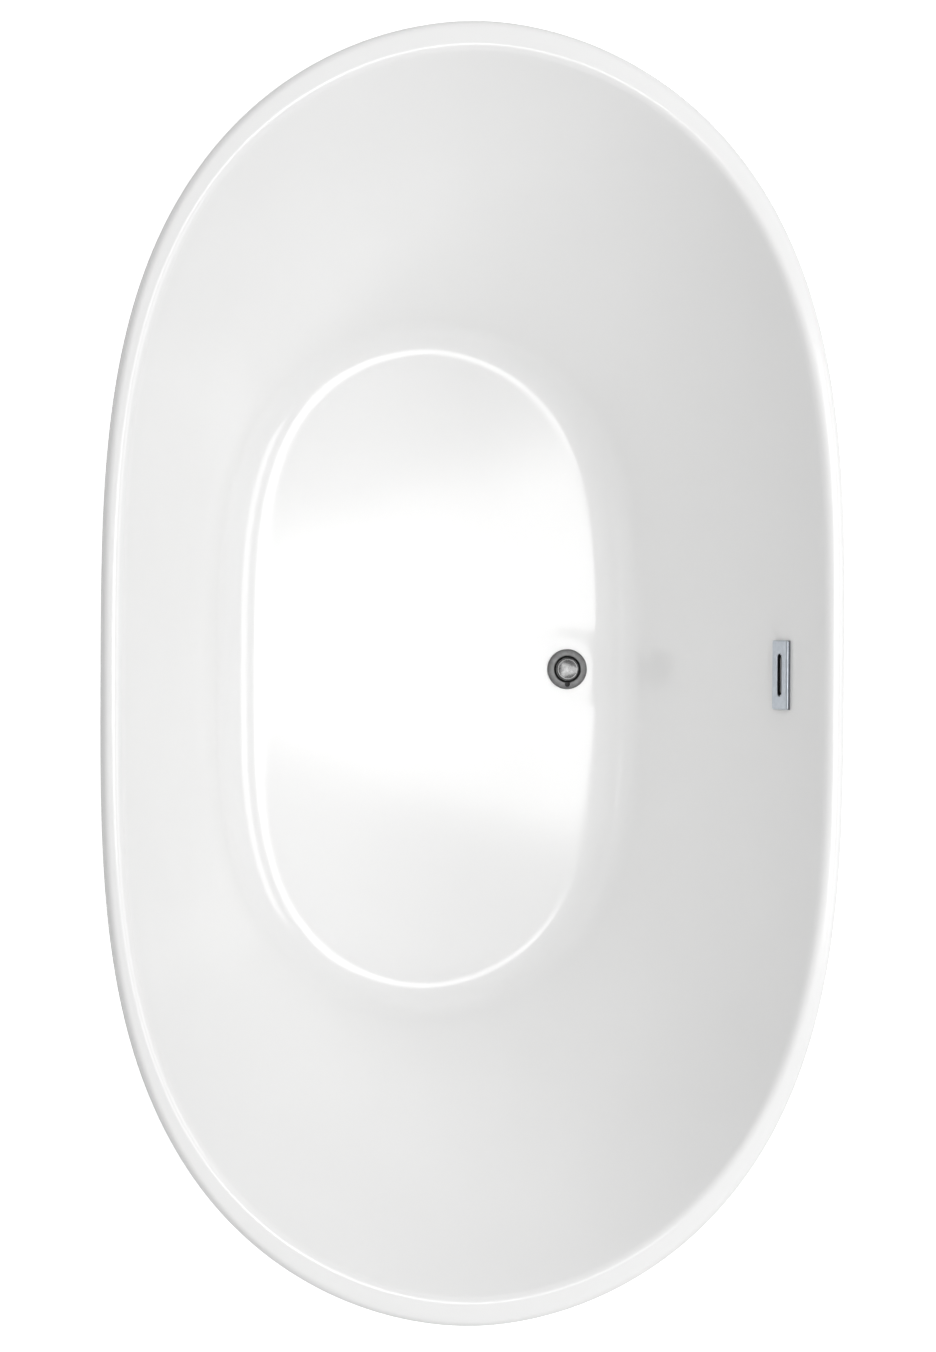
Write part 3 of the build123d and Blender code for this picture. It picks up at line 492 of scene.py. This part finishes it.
def even_angles(count, half_length, half_width):
    """Angles whose points are evenly spaced round the oval."""
    fine = 7200  # points that the oval's length is measured with
    spots = [oval(2 * math.pi * i / fine, half_length, half_width) for i in range(fine + 1)]
    lengths = [0.0]
    for one, two in zip(spots, spots[1:]):
        lengths.append(lengths[-1] + (two - one).length)
    angles = []
    i = 0
    for step in range(count):
        wanted = lengths[-1] * step / count
        while lengths[i + 1] < wanted:
            i += 1
        part = (wanted - lengths[i]) / (lengths[i + 1] - lengths[i])
        angles.append(2 * math.pi * (i + part) / fine)
    return angles


BASIN_COLUMNS = 300
FINE_HALF_WIDTH = 0.062
FINE_COLUMNS = 50
FINE_GAP = 0.006


def basin_angles():
    """Even columns, with closer ones where the floor dips round the waste."""
    fine = []
    for step in range(FINE_COLUMNS + 1):
        x = FINE_HALF_WIDTH * (1 - 2 * step / FINE_COLUMNS)
        cosine = math.copysign((abs(x) / FLOOR_A) ** (LENGTH_POWER / 2), x)
        fine.append(math.acos(cosine))
    low = fine[0] - FINE_GAP
    high = fine[-1] + FINE_GAP
    rest = [a for a in even_angles(BASIN_COLUMNS, FLOOR_A, FLOOR_B) if not low < a < high]
    return sorted(rest + fine)


# ---------------------------------------------------------------- basin
DISH_DEPTH = 0.002
DISH_RADIUS = 0.027
DISH_EDGE = 0.068
BOSS_RADIUS = 0.050
BOSS_DROP = 0.007
BOSS_BLEND = 0.003

# The floor fillet: its steps, the share of its turn where it eases in and out, and its
# tightness (at the sides, at the ends) on the basin's inner and outer skin.
FILLET_STEPS = 36
FILLET_EASE = 0.2
INSIDE_TIGHTNESS = (0.78, 0.62)
OUTSIDE_TIGHTNESS = (0.85, 0.85)


class Shell:
    """One skin of the bowl: its walls, floor fillet and floor, grown sideways and downwards.
    The tightness is the share of the fillet radius where the fillet curves most."""

    def __init__(self, sideways, below, tightness):
        self.low = FLOOR_Z - below
        self.radius = FLOOR_FILLET + below
        self.side_tightness, self.end_tightness = tightness
        self.curves = {}
        self.floor_a = FLOOR_A + sideways - below * END_SLOPE
        self.floor_b = FLOOR_B + sideways - below * SIDE_SLOPE

    def wall(self, angle, height):
        rise = height - self.low
        spot = oval(angle, self.floor_a + rise * END_SLOPE, self.floor_b + rise * SIDE_SLOPE)
        spot.z = height
        return spot

    def slope(self, angle, height):
        """At that height, the wall's outward shift per metre of height and the outline's normal."""
        rise = height - self.low
        half_length = self.floor_a + rise * END_SLOPE
        half_width = self.floor_b + rise * SIDE_SLOPE
        normal = oval_normal(angle, half_length, half_width)
        spot = oval(angle, half_length, half_width)
        shift = Vector((spot.x / half_length * END_SLOPE, spot.y / half_width * SIDE_SLOPE, 0.0))
        return normal.dot(shift), normal

    def curve(self, tilt):
        """The fillet's section for a wall of that tilt: (distance from the floor's edge, height).
        Its curvature eases in from the floor and out to the wall, as in a formed sheet."""
        turn = math.pi / 2 - tilt
        endness = (math.tan(tilt) - SIDE_SLOPE) / (END_SLOPE - SIDE_SLOPE)
        tighter = self.end_tightness - self.side_tightness
        tightness = self.side_tightness + tighter * endness
        stride = turn * self.radius * tightness / (1 - FILLET_EASE) / FILLET_STEPS
        along = [0.0]
        height = [0.0]
        for step in range(FILLET_STEPS):
            part = (step + 0.5) / FILLET_STEPS
            eased = min(part, FILLET_EASE) ** 2 / FILLET_EASE / 2
            eased += min(max(part - FILLET_EASE, 0.0), 1 - 2 * FILLET_EASE)
            late = max(part - 1 + FILLET_EASE, 0.0)
            eased += late - late ** 2 / FILLET_EASE / 2
            sweep = turn * eased / (1 - FILLET_EASE)
            along.append(along[-1] + stride * math.cos(sweep))
            height.append(height[-1] + stride * math.sin(sweep))
        reach = along[-1] - height[-1] * math.tan(tilt)
        return [(a - reach, h) for a, h in zip(along, height)]

    def fillet(self, angle, part):
        """Point of the floor fillet, and its height over the floor: part 0 on the floor, 1 on the
        wall."""
        slope, normal = self.slope(angle, self.low)
        if angle not in self.curves:
            self.curves[angle] = self.curve(math.atan(slope))
        away, height = self.curves[angle][round(part * FILLET_STEPS)]
        return self.wall(angle, self.low + height) + normal * (away - slope * height), height


def rim_fillet(shell, angle, part):
    """Point of the rim's inner fillet, and its height: part 0 on the wall, 1 on the rim's top."""
    slope, normal = shell.slope(angle, RIM_Z)
    tilt = math.atan(slope)
    reach = INNER_FILLET * (1 - math.sin(tilt)) / math.cos(tilt)
    sweep = (math.pi / 2 - tilt) * (1 - part)
    away = reach - INNER_FILLET * math.sin(sweep)
    height = RIM_Z - INNER_FILLET * (1 - math.cos(sweep))
    return shell.wall(angle, height) + normal * (away - slope * (height - RIM_Z)), height


def rim_edge(angle, inset, height):
    """Point of the rim's outline, moved inwards by inset."""
    spot = oval(angle, RIM_A, RIM_B) - oval_normal(angle, RIM_A, RIM_B) * inset
    spot.z = height
    return spot


def fade(near, far, distance):
    """1 up to near, 0 from far on, and a smooth step between them."""
    part = min(max((far - distance) / (far - near), 0.0), 1.0)
    return part * part * (3 - 2 * part)


def dished(spot):
    """Lowers a point of the bathing floor into the shallow dish round the waste."""
    radius = (spot - DRAIN).to_2d().length
    share = fade(DISH_RADIUS, DISH_EDGE, radius)
    return Vector((spot.x, spot.y, spot.z - DISH_DEPTH * share))


def bossed(spot):
    """Lowers a point of the basin's underside into the boss round the waste."""
    radius = (spot - DRAIN).to_2d().length
    share = fade(BOSS_RADIUS - BOSS_BLEND, BOSS_RADIUS + BOSS_BLEND, radius)
    lowered = min(FLOOR_Z - ACRYLIC - BOSS_DROP, spot.z)
    return Vector((spot.x, spot.y, spot.z + (lowered - spot.z) * share))


def build_basin(bm):
    angles = basin_angles()
    inside = Shell(0.0, 0.0, INSIDE_TIGHTNESS)
    outside = Shell(ACRYLIC_SIDEWAYS, ACRYLIC, OUTSIDE_TIGHTNESS)
    under = RIM_Z - ACRYLIC
    rings = []

    def ring(point):
        rings.append([bm.verts.new(point(angle)) for angle in angles])

    def floor_ring(shell, part, mend):
        ring(lambda a: mend(Vector((*(shell.fillet(a, 0.0)[0].to_2d() * part), shell.low))))

    # From the middle of the floor outwards and up, over the rim and down the other side. The
    # floor's rings are closer together where the floor dips.
    floor_parts = [0.04, 0.12, 0.22, 0.34, 0.46, 0.54, 0.60]
    floor_parts += [0.64 + 0.0125 * i for i in range(29)]
    rings.append([bm.verts.new((0, 0, FLOOR_Z))])
    for part in floor_parts:
        floor_ring(inside, part, dished)
    for step in range(FILLET_STEPS + 1):
        part = step / FILLET_STEPS
        ring(lambda a: dished(inside.fillet(a, part)[0]))

    def wall_point(shell, angle, part, top):
        low = shell.fillet(angle, 1.0)[1] + shell.low
        return shell.wall(angle, low + (top(angle) - low) * part)

    for step in range(1, 26):
        part = step / 26
        ring(lambda a: wall_point(inside, a, part, lambda b: rim_fillet(inside, b, 0.0)[1]))
    for step in range(11):
        part = step / 10
        ring(lambda a: rim_fillet(inside, a, part)[0])
    for part in (0.33, 0.67):
        ring(lambda a: rim_fillet(inside, a, 1.0)[0].lerp(rim_edge(a, OUTER_FILLET, RIM_Z), part))
    for step in range(10):
        sweep = math.pi / 2 * step / 9
        inset = OUTER_FILLET * (1 - math.sin(sweep))
        height = RIM_Z - OUTER_FILLET * (1 - math.cos(sweep))
        ring(lambda a: rim_edge(a, inset, height))
    # The rolled lip and its underside, as (inset, height).
    lip = [(0.0, RIM_Z - 0.016), (0.0, LIP_Z + 0.001), (0.0003, LIP_Z + 0.0003), (0.001, LIP_Z)]
    lip += [(0.004, LIP_Z), (0.0047, LIP_Z + 0.0003), (0.005, LIP_Z + 0.001)]
    lip += [(0.005, RIM_Z - 0.015), (0.005, RIM_Z - 0.009), (0.0062, RIM_Z - 0.0062)]
    lip += [(0.009, under)]
    for inset, height in lip:
        ring(lambda a: rim_edge(a, inset, height))
    ring(lambda a: rim_edge(a, 0.009, under).lerp(outside.wall(a, under), 0.6))
    for step in range(15):
        part = 1 - step / 14
        ring(lambda a: wall_point(outside, a, part, lambda b: under))
    for step in range(2, FILLET_STEPS + 1, 2):
        part = 1 - step / FILLET_STEPS
        ring(lambda a: bossed(outside.fillet(a, part)[0]))
    for part in [0.97 - 0.0175 * i for i in range(19)] + [0.5, 0.35, 0.2, 0.08]:
        floor_ring(outside, part, bossed)
    rings.append([bm.verts.new((0, 0, outside.low))])
    strip(bm, rings)


def upright(bm, outline, low, high, turn):
    """A straight prism over the outline, a list of (u, v); turn is its place."""
    rings = [[bm.verts.new(turn @ Vector((u, v, w))) for u, v in outline] for w in (low, high)]
    strip(bm, rings)
    bm.faces.new(rings[0])
    bm.faces.new(rings[1])


def rounded_rectangle(width, height, radius, steps=6):
    u = width / 2
    v = height / 2
    return rounded([(-u, -v, radius), (u, -v, radius), (u, v, radius), (-u, v, radius)], steps)


# Local frame of the overflow: u along the tub, v up the side wall, w out of it into the well.
WALL_TURN = Matrix((
    (1.0, 0.0, 0.0, WALL_POINT.x),
    (0.0, math.sin(WALL_ANGLE), -math.cos(WALL_ANGLE), WALL_POINT.y),
    (0.0, math.cos(WALL_ANGLE), math.sin(WALL_ANGLE), WALL_POINT.z),
    (0.0, 0.0, 0.0, 1.0),
))



def build_waste_hole(bm):
    profile = [(0, WASTE_HOLE_LOW), (WASTE_HOLE_RADIUS, WASTE_HOLE_LOW)]
    profile += [(WASTE_HOLE_RADIUS, WASTE_HOLE_HIGH), (0, WASTE_HOLE_HIGH)]
    lathe(bm, profile, DRAIN, 64)


def build_overflow_hole(bm):
    outline = rounded_rectangle(*OVERFLOW_HOLE)
    upright(bm, outline, -OVERFLOW_HOLE_REACH, OVERFLOW_HOLE_REACH, WALL_TURN)


basin = make_piece("basin", "inner_basin", build_basin)
cut(basin, build_waste_hole)
cut(basin, build_overflow_hole)


# ---------------------------------------------------------------- skirt
def skirt_point(angle, inset, height):
    rise = 1 - (1 - height / SKIRT_TOP) ** SKIRT_BULGE
    half_length = SKIRT_BASE_A + (SKIRT_A - SKIRT_BASE_A) * rise - inset
    half_width = SKIRT_BASE_B + (SKIRT_B - SKIRT_BASE_B) * rise - inset
    spot = oval(angle, half_length, half_width)
    spot.z = height
    return spot


def build_skirt(bm):
    angles = even_angles(288, SKIRT_A, SKIRT_B)
    low = SKIRT_LOW
    shelf = low + SKIRT_WALL
    foot = low + 0.007
    shoulder = SKIRT_TOP - 0.001
    # The section as (inset, height): out along the underside, up the outside and down the inside.
    profile = [(SKIRT_RETURN, low), (0.009, low), (0.0042, low), (0.0018, low + 0.0004)]
    profile += [(0.0006, low + 0.0015), (0.0, low + 0.0035), (0.0, foot)]
    profile += [(0.0, foot + (shoulder - foot) * i / 40) for i in range(1, 41)]
    profile += [(0.0004, SKIRT_TOP - 0.0003), (0.001, SKIRT_TOP), (SKIRT_WALL, SKIRT_TOP)]
    fall = shelf + 0.004 - SKIRT_TOP
    profile += [(SKIRT_WALL, SKIRT_TOP + fall * i / 30) for i in range(1, 31)]
    profile += [(0.0062, shelf + 0.0012), (0.009, shelf), (SKIRT_RETURN, shelf)]
    rings = []
    for inset, height in profile:
        rings.append([bm.verts.new(skirt_point(angle, inset, height)) for angle in angles])
    strip(bm, rings, closed_profile=True)


make_piece("skirt", "outer_skirt", build_skirt, smooth_angle=40)


# ---------------------------------------------------------------- waste flange and stopper
def build_flange(bm):
    outer = 0.026
    top = 0.1522
    foot = 0.149
    bore = 0.0152
    thread = 0.0177
    seat = 0.0170
    spigot_end = 0.104
    profile = rounded([
        (bore, spigot_end, 0.0003), (thread, spigot_end, 0.0003), (thread, foot, 0),
        (outer, foot, 0.0002), (outer, foot + 0.0008, 0.0006),
        (outer - 0.0016, top - 0.0005, 0.0016), (outer - 0.0045, top, 0.002),
        (0.0179, top, 0.0005), (seat, top - 0.0009, 0.0005), (seat, 0.1456, 0.0004),
        (bore, 0.1436, 0.0004),
    ], 5)
    lathe(bm, profile, DRAIN, 128)


def build_spider(bm):
    """The cross in the spigot, with a hub for the stopper's cartridge."""
    low = 0.112
    high = 0.118
    hole = 0.006
    hub = 0.0085
    arm_start = 0.0080
    arm_end = 0.0155
    arm = 0.0015
    corners = [(hole, low), (hub, low), (hub, high), (hole, high)]
    lathe(bm, rounded([(radius, height, 0.0003) for radius, height in corners]), DRAIN, 48)
    outline = [(arm_start, -arm), (arm_end, -arm), (arm_end, arm), (arm_start, arm)]
    for quarter in range(4):
        spin = Matrix.Translation(DRAIN) @ Matrix.Rotation(math.pi / 2 * quarter, 4, "Z")
        upright(bm, outline, low, high, spin)


def build_notch(bm):
    """The finger notch in the flange, towards +X. The cut leaves its walls with a near-black copy
    of the metal, which is painted shade.
    """
    centre = DRAIN + Vector((0.0196, 0, 0))
    radius = 0.0034
    low = 0.1496
    high = 0.16
    profile = [(0, low), (radius - 0.0004, low), (radius, low + 0.0004), (radius, high), (0, high)]
    lathe(bm, profile, centre, 32)


flange = make_piece("waste_flange", "drain_flange", build_flange)
# The notch's walls get the near-black metal in slot 1: painted shade in the recess.
flange.data.materials.append(notch_painted_shade)
cut(flange, build_notch, finish=1)
build_into(flange.data, build_spider)
sharpen(flange.data, 35)


def build_cap(bm):
    crown = 0.1538
    crown_radius = 0.0126
    dish = 0.0008
    edge_radius = 0.0162
    shoulder = 0.0039
    under = 0.1475
    socket = 0.0025
    socket_top = 0.1505
    profile = [(0.0, crown - dish)]
    for step in range(1, 17):
        share = step / 16
        profile.append((crown_radius * share, crown - dish + dish * share ** 2))
    for step in range(1, 13):
        turn = math.pi / 2 * step / 12
        radius = crown_radius + (edge_radius - crown_radius) * math.sin(turn)
        profile.append((radius, crown - shoulder * (1 - math.cos(turn))))
    profile += [(edge_radius, under + 0.0006), (edge_radius - 0.0002, under + 0.0002)]
    profile += [(edge_radius - 0.0005, under), (socket, under), (socket, socket_top)]
    profile += [(0.0, socket_top)]
    lathe(bm, profile, DRAIN, 128)


make_piece("stopper_top", "stopper_cap", build_cap, cap_metal, 35)


# ---------------------------------------------------------------- overflow cover
def build_cover(bm):
    length = 0.084
    height = 0.033
    depth = 0.005
    wall = 0.0015
    slot_length = 0.052
    slot_height = 0.010
    flat = 0.00001  # keeps the ends of the slot from meeting in one point
    rings = []

    def ring(outline, out):
        rings.append([bm.verts.new(WALL_TURN @ Vector((u, v, out))) for u, v in outline])

    def border(inset):
        return rounded_rectangle(length - 2 * inset, height - 2 * inset, 0.0015)

    def slot(grow):
        end_radius = slot_height / 2 + grow - flat
        return rounded_rectangle(slot_length + 2 * grow, slot_height + 2 * grow, end_radius)

    # Up the outside, over the bevel to the face, and down into the slot, as (inset, depth off).
    bevel = [(0.0, depth), (0.0, 0.0019), (0.0001, 0.0015), (0.0004, 0.0011)]
    bevel += [(0.0013, 0.0002), (0.0016, 0.00005), (0.0020, 0.0)]
    for inset, off in bevel:
        ring(border(inset), depth - off)
    for grow, off in [(0.0005, 0.0), (0.0002, 0.0001), (0.0, 0.0004), (0.0, wall)]:
        ring(slot(grow), depth - off)
    ring(border(wall), depth - wall)
    ring(border(wall), 0.0)
    strip(bm, rings, closed_profile=True)
    bm.faces.ensure_lookup_table()
    # These upright sides take the darker copy of the chrome, which is painted shade.
    for face in bm.faces[:len(rings[0])]:  # the upright sides
        face.material_index = 1


overflow_face = make_piece("overflow_face", "overflow_cover", build_cover, cover_metal, 28)
# Slot 1 is the darker painted-shade copy of the chrome for the cover's sides.
overflow_face.data.materials.append(cover_sides_painted_shade)


# ---------------------------------------------------------------- feet, studs and nuts
def centre_of(node):
    low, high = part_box(node)
    return Vector(((low.x + high.x) / 2, (low.y + high.y) / 2, 0.0))


STUD_RADIUS = 0.006
THREAD_PITCH = 0.00175
THREAD_DEPTH = 0.0009
THREAD_STEPS = 6
THREAD_SIDES = 24
THREAD_LEAD = 0.0012


def build_thread(bm, centre, low, high):
    """A right-hand screw thread with chamfered ends."""
    rings = [[bm.verts.new(centre + Vector((0, 0, low)))]]
    count = round((high - low) / THREAD_PITCH * THREAD_STEPS)
    for level in range(count + 1):
        height = low + (high - low) * level / count
        end = min(height - low, high - height)
        row = []
        for side in range(THREAD_SIDES):
            share = side / THREAD_SIDES
            phase = (height / THREAD_PITCH - share) % 1.0
            radius = STUD_RADIUS - THREAD_DEPTH * abs(2 * phase - 1)
            radius = min(radius, STUD_RADIUS - THREAD_LEAD + end)
            angle = 2 * math.pi * share
            spot = Vector((radius * math.cos(angle), radius * math.sin(angle), height))
            row.append(bm.verts.new(centre + spot))
        rings.append(row)
    rings.append([bm.verts.new(centre + Vector((0, 0, high)))])
    strip(bm, rings)


def build_nut(bm, centre, low, high, flats, bore):
    """A hexagon nut whose corners are turned off at both ends; bore 0 makes it solid."""
    corner = flats / math.sqrt(3)
    face = flats / 2 - 0.0002
    slant = (corner - flats / 2) * math.tan(math.radians(30)) + 0.0002
    lead = 0.0006
    profile = [(bore, low + lead), (bore + lead, low), (face, low), (corner, low + slant)]
    profile += [(corner, high - slant), (face, high), (bore + lead, high), (bore, high - lead)]
    if bore == 0:
        profile = [(0, low)] + profile[2:6] + [(0, high)]
    lathe(bm, profile, centre, 72, limit=hexagon(flats))


def build_pad(bm, centre):
    """A rubber foot with a grooved edge, a sloping top and a socket for the stud."""
    edge = 0.025
    ridge = 0.0222
    socket = 0.0062
    socket_low = 0.0083
    profile = [(0.0, 0.0006), (0.0215, 0.0006)]
    profile += rounded([
        (ridge, 0.0, 0), (edge, 0.0, 0.0007), (edge, 0.004, 0.0008), (0.023, 0.004, 0.0005),
        (0.0147, 0.0139, 0.0015), (socket, 0.014, 0.0006), (socket, socket_low, 0),
    ])
    profile += [(0.0, socket_low)]
    lathe(bm, profile, centre, 72)


STUD_HEX_LOW = 0.016
STUD_HEX_HIGH = 0.024
STUD_HEX_FLATS = 0.017
NUT_FLATS = 0.019
NUT_BORE = 0.0061
FOOT_NAMES = [str(number) for number in range(1, 6)]

for foot in FOOT_NAMES:
    place = centre_of("foot_stud_" + foot)
    stud_low, stud_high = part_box("foot_stud_" + foot)
    stud = make_piece("stud_" + foot, "foot_stud_" + foot,
                      lambda bm: build_thread(bm, place, stud_low.z, stud_high.z))
    build_into(stud.data, lambda bm: build_nut(
        bm, place, STUD_HEX_LOW, STUD_HEX_HIGH, STUD_HEX_FLATS, 0))
    sharpen(stud.data, 40)
    make_piece("pad_" + foot, "foot_pad_" + foot, lambda bm: build_pad(bm, place), smooth_angle=35)


def build_nuts(bm, node):
    low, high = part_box(node)
    for foot in FOOT_NAMES:
        build_nut(bm, centre_of("foot_stud_" + foot), low.z, high.z, NUT_FLATS, NUT_BORE)


for node in ("weld_nuts", "lock_nuts"):
    make_piece(node + "_turned", node, lambda bm: build_nuts(bm, node), smooth_angle=30)


# ---------------------------------------------------------------- overflow hose
HOSE_RADIUS = 0.011
HOSE_BORE = 0.0085
HOSE_BEND = 0.050
HOSE_PITCH = 0.0042
HOSE_GROOVE = 0.0011
HOSE_CUFF = 0.022
HOSE_SIDES = 32
HOSE_RINGS = 7  # in one pitch of the ribs
HOSE_START = Vector((0.0, 0.214, 0.095))
HOSE_TOP = WALL_TURN @ Vector((0.0, -0.023, -0.021))


def hose_route(stride):
    """The hose's length, and points and directions every stride along it: out of the waste, round
    one bend and up behind the wall."""
    first = Vector((0.0, 1.0, 0.0))
    last = Vector((0.0, math.sin(WALL_ANGLE), math.cos(WALL_ANGLE)))
    corner_y = HOSE_TOP.y - (HOSE_TOP.z - HOSE_START.z) * SIDE_SLOPE
    turn = first.angle(last)
    reach = HOSE_BEND * math.tan(turn / 2)
    straight = corner_y - reach - HOSE_START.y
    arc = HOSE_BEND * turn
    bend_start = HOSE_START + first * straight
    bend_end = Vector((0.0, corner_y, HOSE_START.z)) + last * reach
    total = straight + arc + (HOSE_TOP - bend_end).length
    count = round(total / stride)
    for step in range(count + 1):
        along = total * step / count
        if along < straight:
            yield along, total, HOSE_START + first * along, first
        elif along < straight + arc:
            swept = (along - straight) / HOSE_BEND
            heading = Vector((0.0, math.cos(swept), math.sin(swept)))
            shift = Vector((0.0, math.sin(swept), 1 - math.cos(swept))) * HOSE_BEND
            yield along, total, bend_start + shift, heading
        else:
            yield along, total, bend_end + last * (along - straight - arc), last


def build_hose(bm):
    outer = []
    inner = []
    side = Vector((1.0, 0.0, 0.0))
    angles = [2 * math.pi * i / HOSE_SIDES for i in range(HOSE_SIDES)]
    for along, total, spot, heading in hose_route(HOSE_PITCH / HOSE_RINGS):
        over = heading.cross(side)
        radius = HOSE_RADIUS
        if HOSE_CUFF < along < total - HOSE_CUFF:
            wave = 0.5 - 0.5 * math.cos(2 * math.pi * along / HOSE_PITCH)
            radius -= HOSE_GROOVE * wave ** 2
        spokes = [side * math.cos(angle) + over * math.sin(angle) for angle in angles]
        for rings, reach in ((outer, radius), (inner, HOSE_BORE)):
            rings.append([bm.verts.new(spot + spoke * reach) for spoke in spokes])
    strip(bm, outer + inner[::-1], closed_profile=True)


make_piece("ribbed_hose", "overflow_hose", build_hose, smooth_angle=60)


# ---------------------------------------------------------------- stage and light
FLOOR_REACH = 160.0


def flat_face(name, corners):
    """An object of one flat face."""
    mesh = bpy.data.meshes.new(name)
    mesh.from_pydata(corners, [], [tuple(range(len(corners)))])
    return new_object(name, mesh)


def make_floor(name, height, albedo, emission):
    reach = FLOOR_REACH
    corners = [(-reach, -reach), (reach, -reach), (reach, reach), (-reach, reach)]
    floor = flat_face(name, [(x, y, height) for x, y in corners])
    m = Nodes(name)
    m.color(m.noise(0.8, 2.0), grey(albedo - 0.03), grey(albedo))
    m.set(Roughness=0.8, Emission_Color=grey(1.0), Emission_Strength=emission)
    floor.data.materials.append(m.material)
    return floor


# The camera sees a white floor with soft shadows. The tub is lit by a dimmer one just under it,
# so that its white skirt still stands out from the floor.
seen_floor = make_floor("floor", 0.0, 0.93, 0.60)
seen_floor.visible_diffuse = False
seen_floor.visible_glossy = False
seen_floor.visible_shadow = False
bounce_floor = make_floor("bounce_floor", -0.0005, 0.80, 0.12)
bounce_floor.visible_camera = False

# Soft sky light: an even base and lobes (direction, how narrow, strength).
SKY_BASE = 0.24
SKY_LOBES = [
    ((1.0, 0.0, 0.6), 2.0, 0.22),
    ((-1.0, 0.0, 0.6), 2.0, 0.22),
    ((0.0, 1.0, 0.45), 1.0, 0.15),
    ((0.0, 0.0, 1.0), 4.0, 0.58),
]


def make_world():
    """A plain soft sky, brighter at the tub's two ends, overhead and on its +Y side."""
    world = bpy.data.worlds.new("studio")
    bpy.context.scene.world = world
    world.use_nodes = True
    nodes = world.node_tree.nodes
    links = world.node_tree.links
    direction = nodes.new("ShaderNodeTexCoord").outputs["Generated"]

    def math_node(operation, one, two):
        node = nodes.new("ShaderNodeMath")
        node.operation = operation
        for socket, value in zip(node.inputs, (one, two)):
            if isinstance(value, float):
                socket.default_value = value
            else:
                links.new(value, socket)
        return node.outputs["Value"]

    total = SKY_BASE
    for towards, power, strength in SKY_LOBES:
        dot = nodes.new("ShaderNodeVectorMath")
        dot.operation = "DOT_PRODUCT"
        links.new(direction, dot.inputs[0])
        dot.inputs[1].default_value = Vector(towards).normalized()
        lobe = math_node("POWER", math_node("MAXIMUM", dot.outputs["Value"], 0.0), power)
        total = math_node("ADD", math_node("MULTIPLY", lobe, strength), total)
    nodes["Background"].inputs["Color"].default_value = grey(1.0)
    links.new(total, nodes["Background"].inputs["Strength"])


make_world()

KEY_Z = 3.3
KEY_RADIANCE = 6.4
END_RADIANCE = 1.3
SIDE_RADIANCE = 4.0
PANEL_AIM = Vector((0.0, 0.2, 0.3))


def glow(name, corners, radiance):
    """A flat softbox that lights the tub and shows in its gloss, but not to the camera."""
    panel = flat_face(name, corners)
    material = bpy.data.materials.new(name)
    material.use_nodes = True
    tree = material.node_tree
    tree.nodes.remove(tree.nodes["Principled BSDF"])
    emission = tree.nodes.new("ShaderNodeEmission")
    emission.inputs["Strength"].default_value = radiance
    tree.links.new(emission.outputs["Emission"], tree.nodes["Material Output"].inputs["Surface"])
    panel.data.materials.append(material)
    panel.visible_camera = False
    panel.visible_shadow = False


def softbox(name, place, width, height, radiance):
    """A rectangular softbox that faces PANEL_AIM."""
    centre = Vector(place)
    facing = (PANEL_AIM - centre).normalized()
    across = facing.cross(Vector((0, 0, 1))).normalized() * width / 2
    up = across.cross(facing).normalized() * height / 2
    corners = [(-1, -1), (1, -1), (1, 1), (-1, 1)]
    glow(name, [centre + across * x + up * y for x, y in corners], radiance)


# The key widens towards +Y. Its reflection is the bright fan on the bathing floor.
key_outline = [(-0.14, -0.08), (-0.44, 0.77), (-0.62, 1.3)]
key_outline += [(0.62, 1.3), (0.44, 0.77), (0.12, -0.08)]
glow("key_panel", [(x, y, KEY_Z) for x, y in key_outline], KEY_RADIANCE)
for end_name, end_x in (("end_panel_a", 2.9), ("end_panel_b", -2.9)):
    softbox(end_name, (end_x, 0.3, 1.9), 2.2, 1.3, END_RADIANCE)
softbox("side_panel", (0.0, 2.7, 2.6), 1.7, 1.0, SIDE_RADIANCE)
bpy.context.scene.view_settings.view_transform = "Standard"
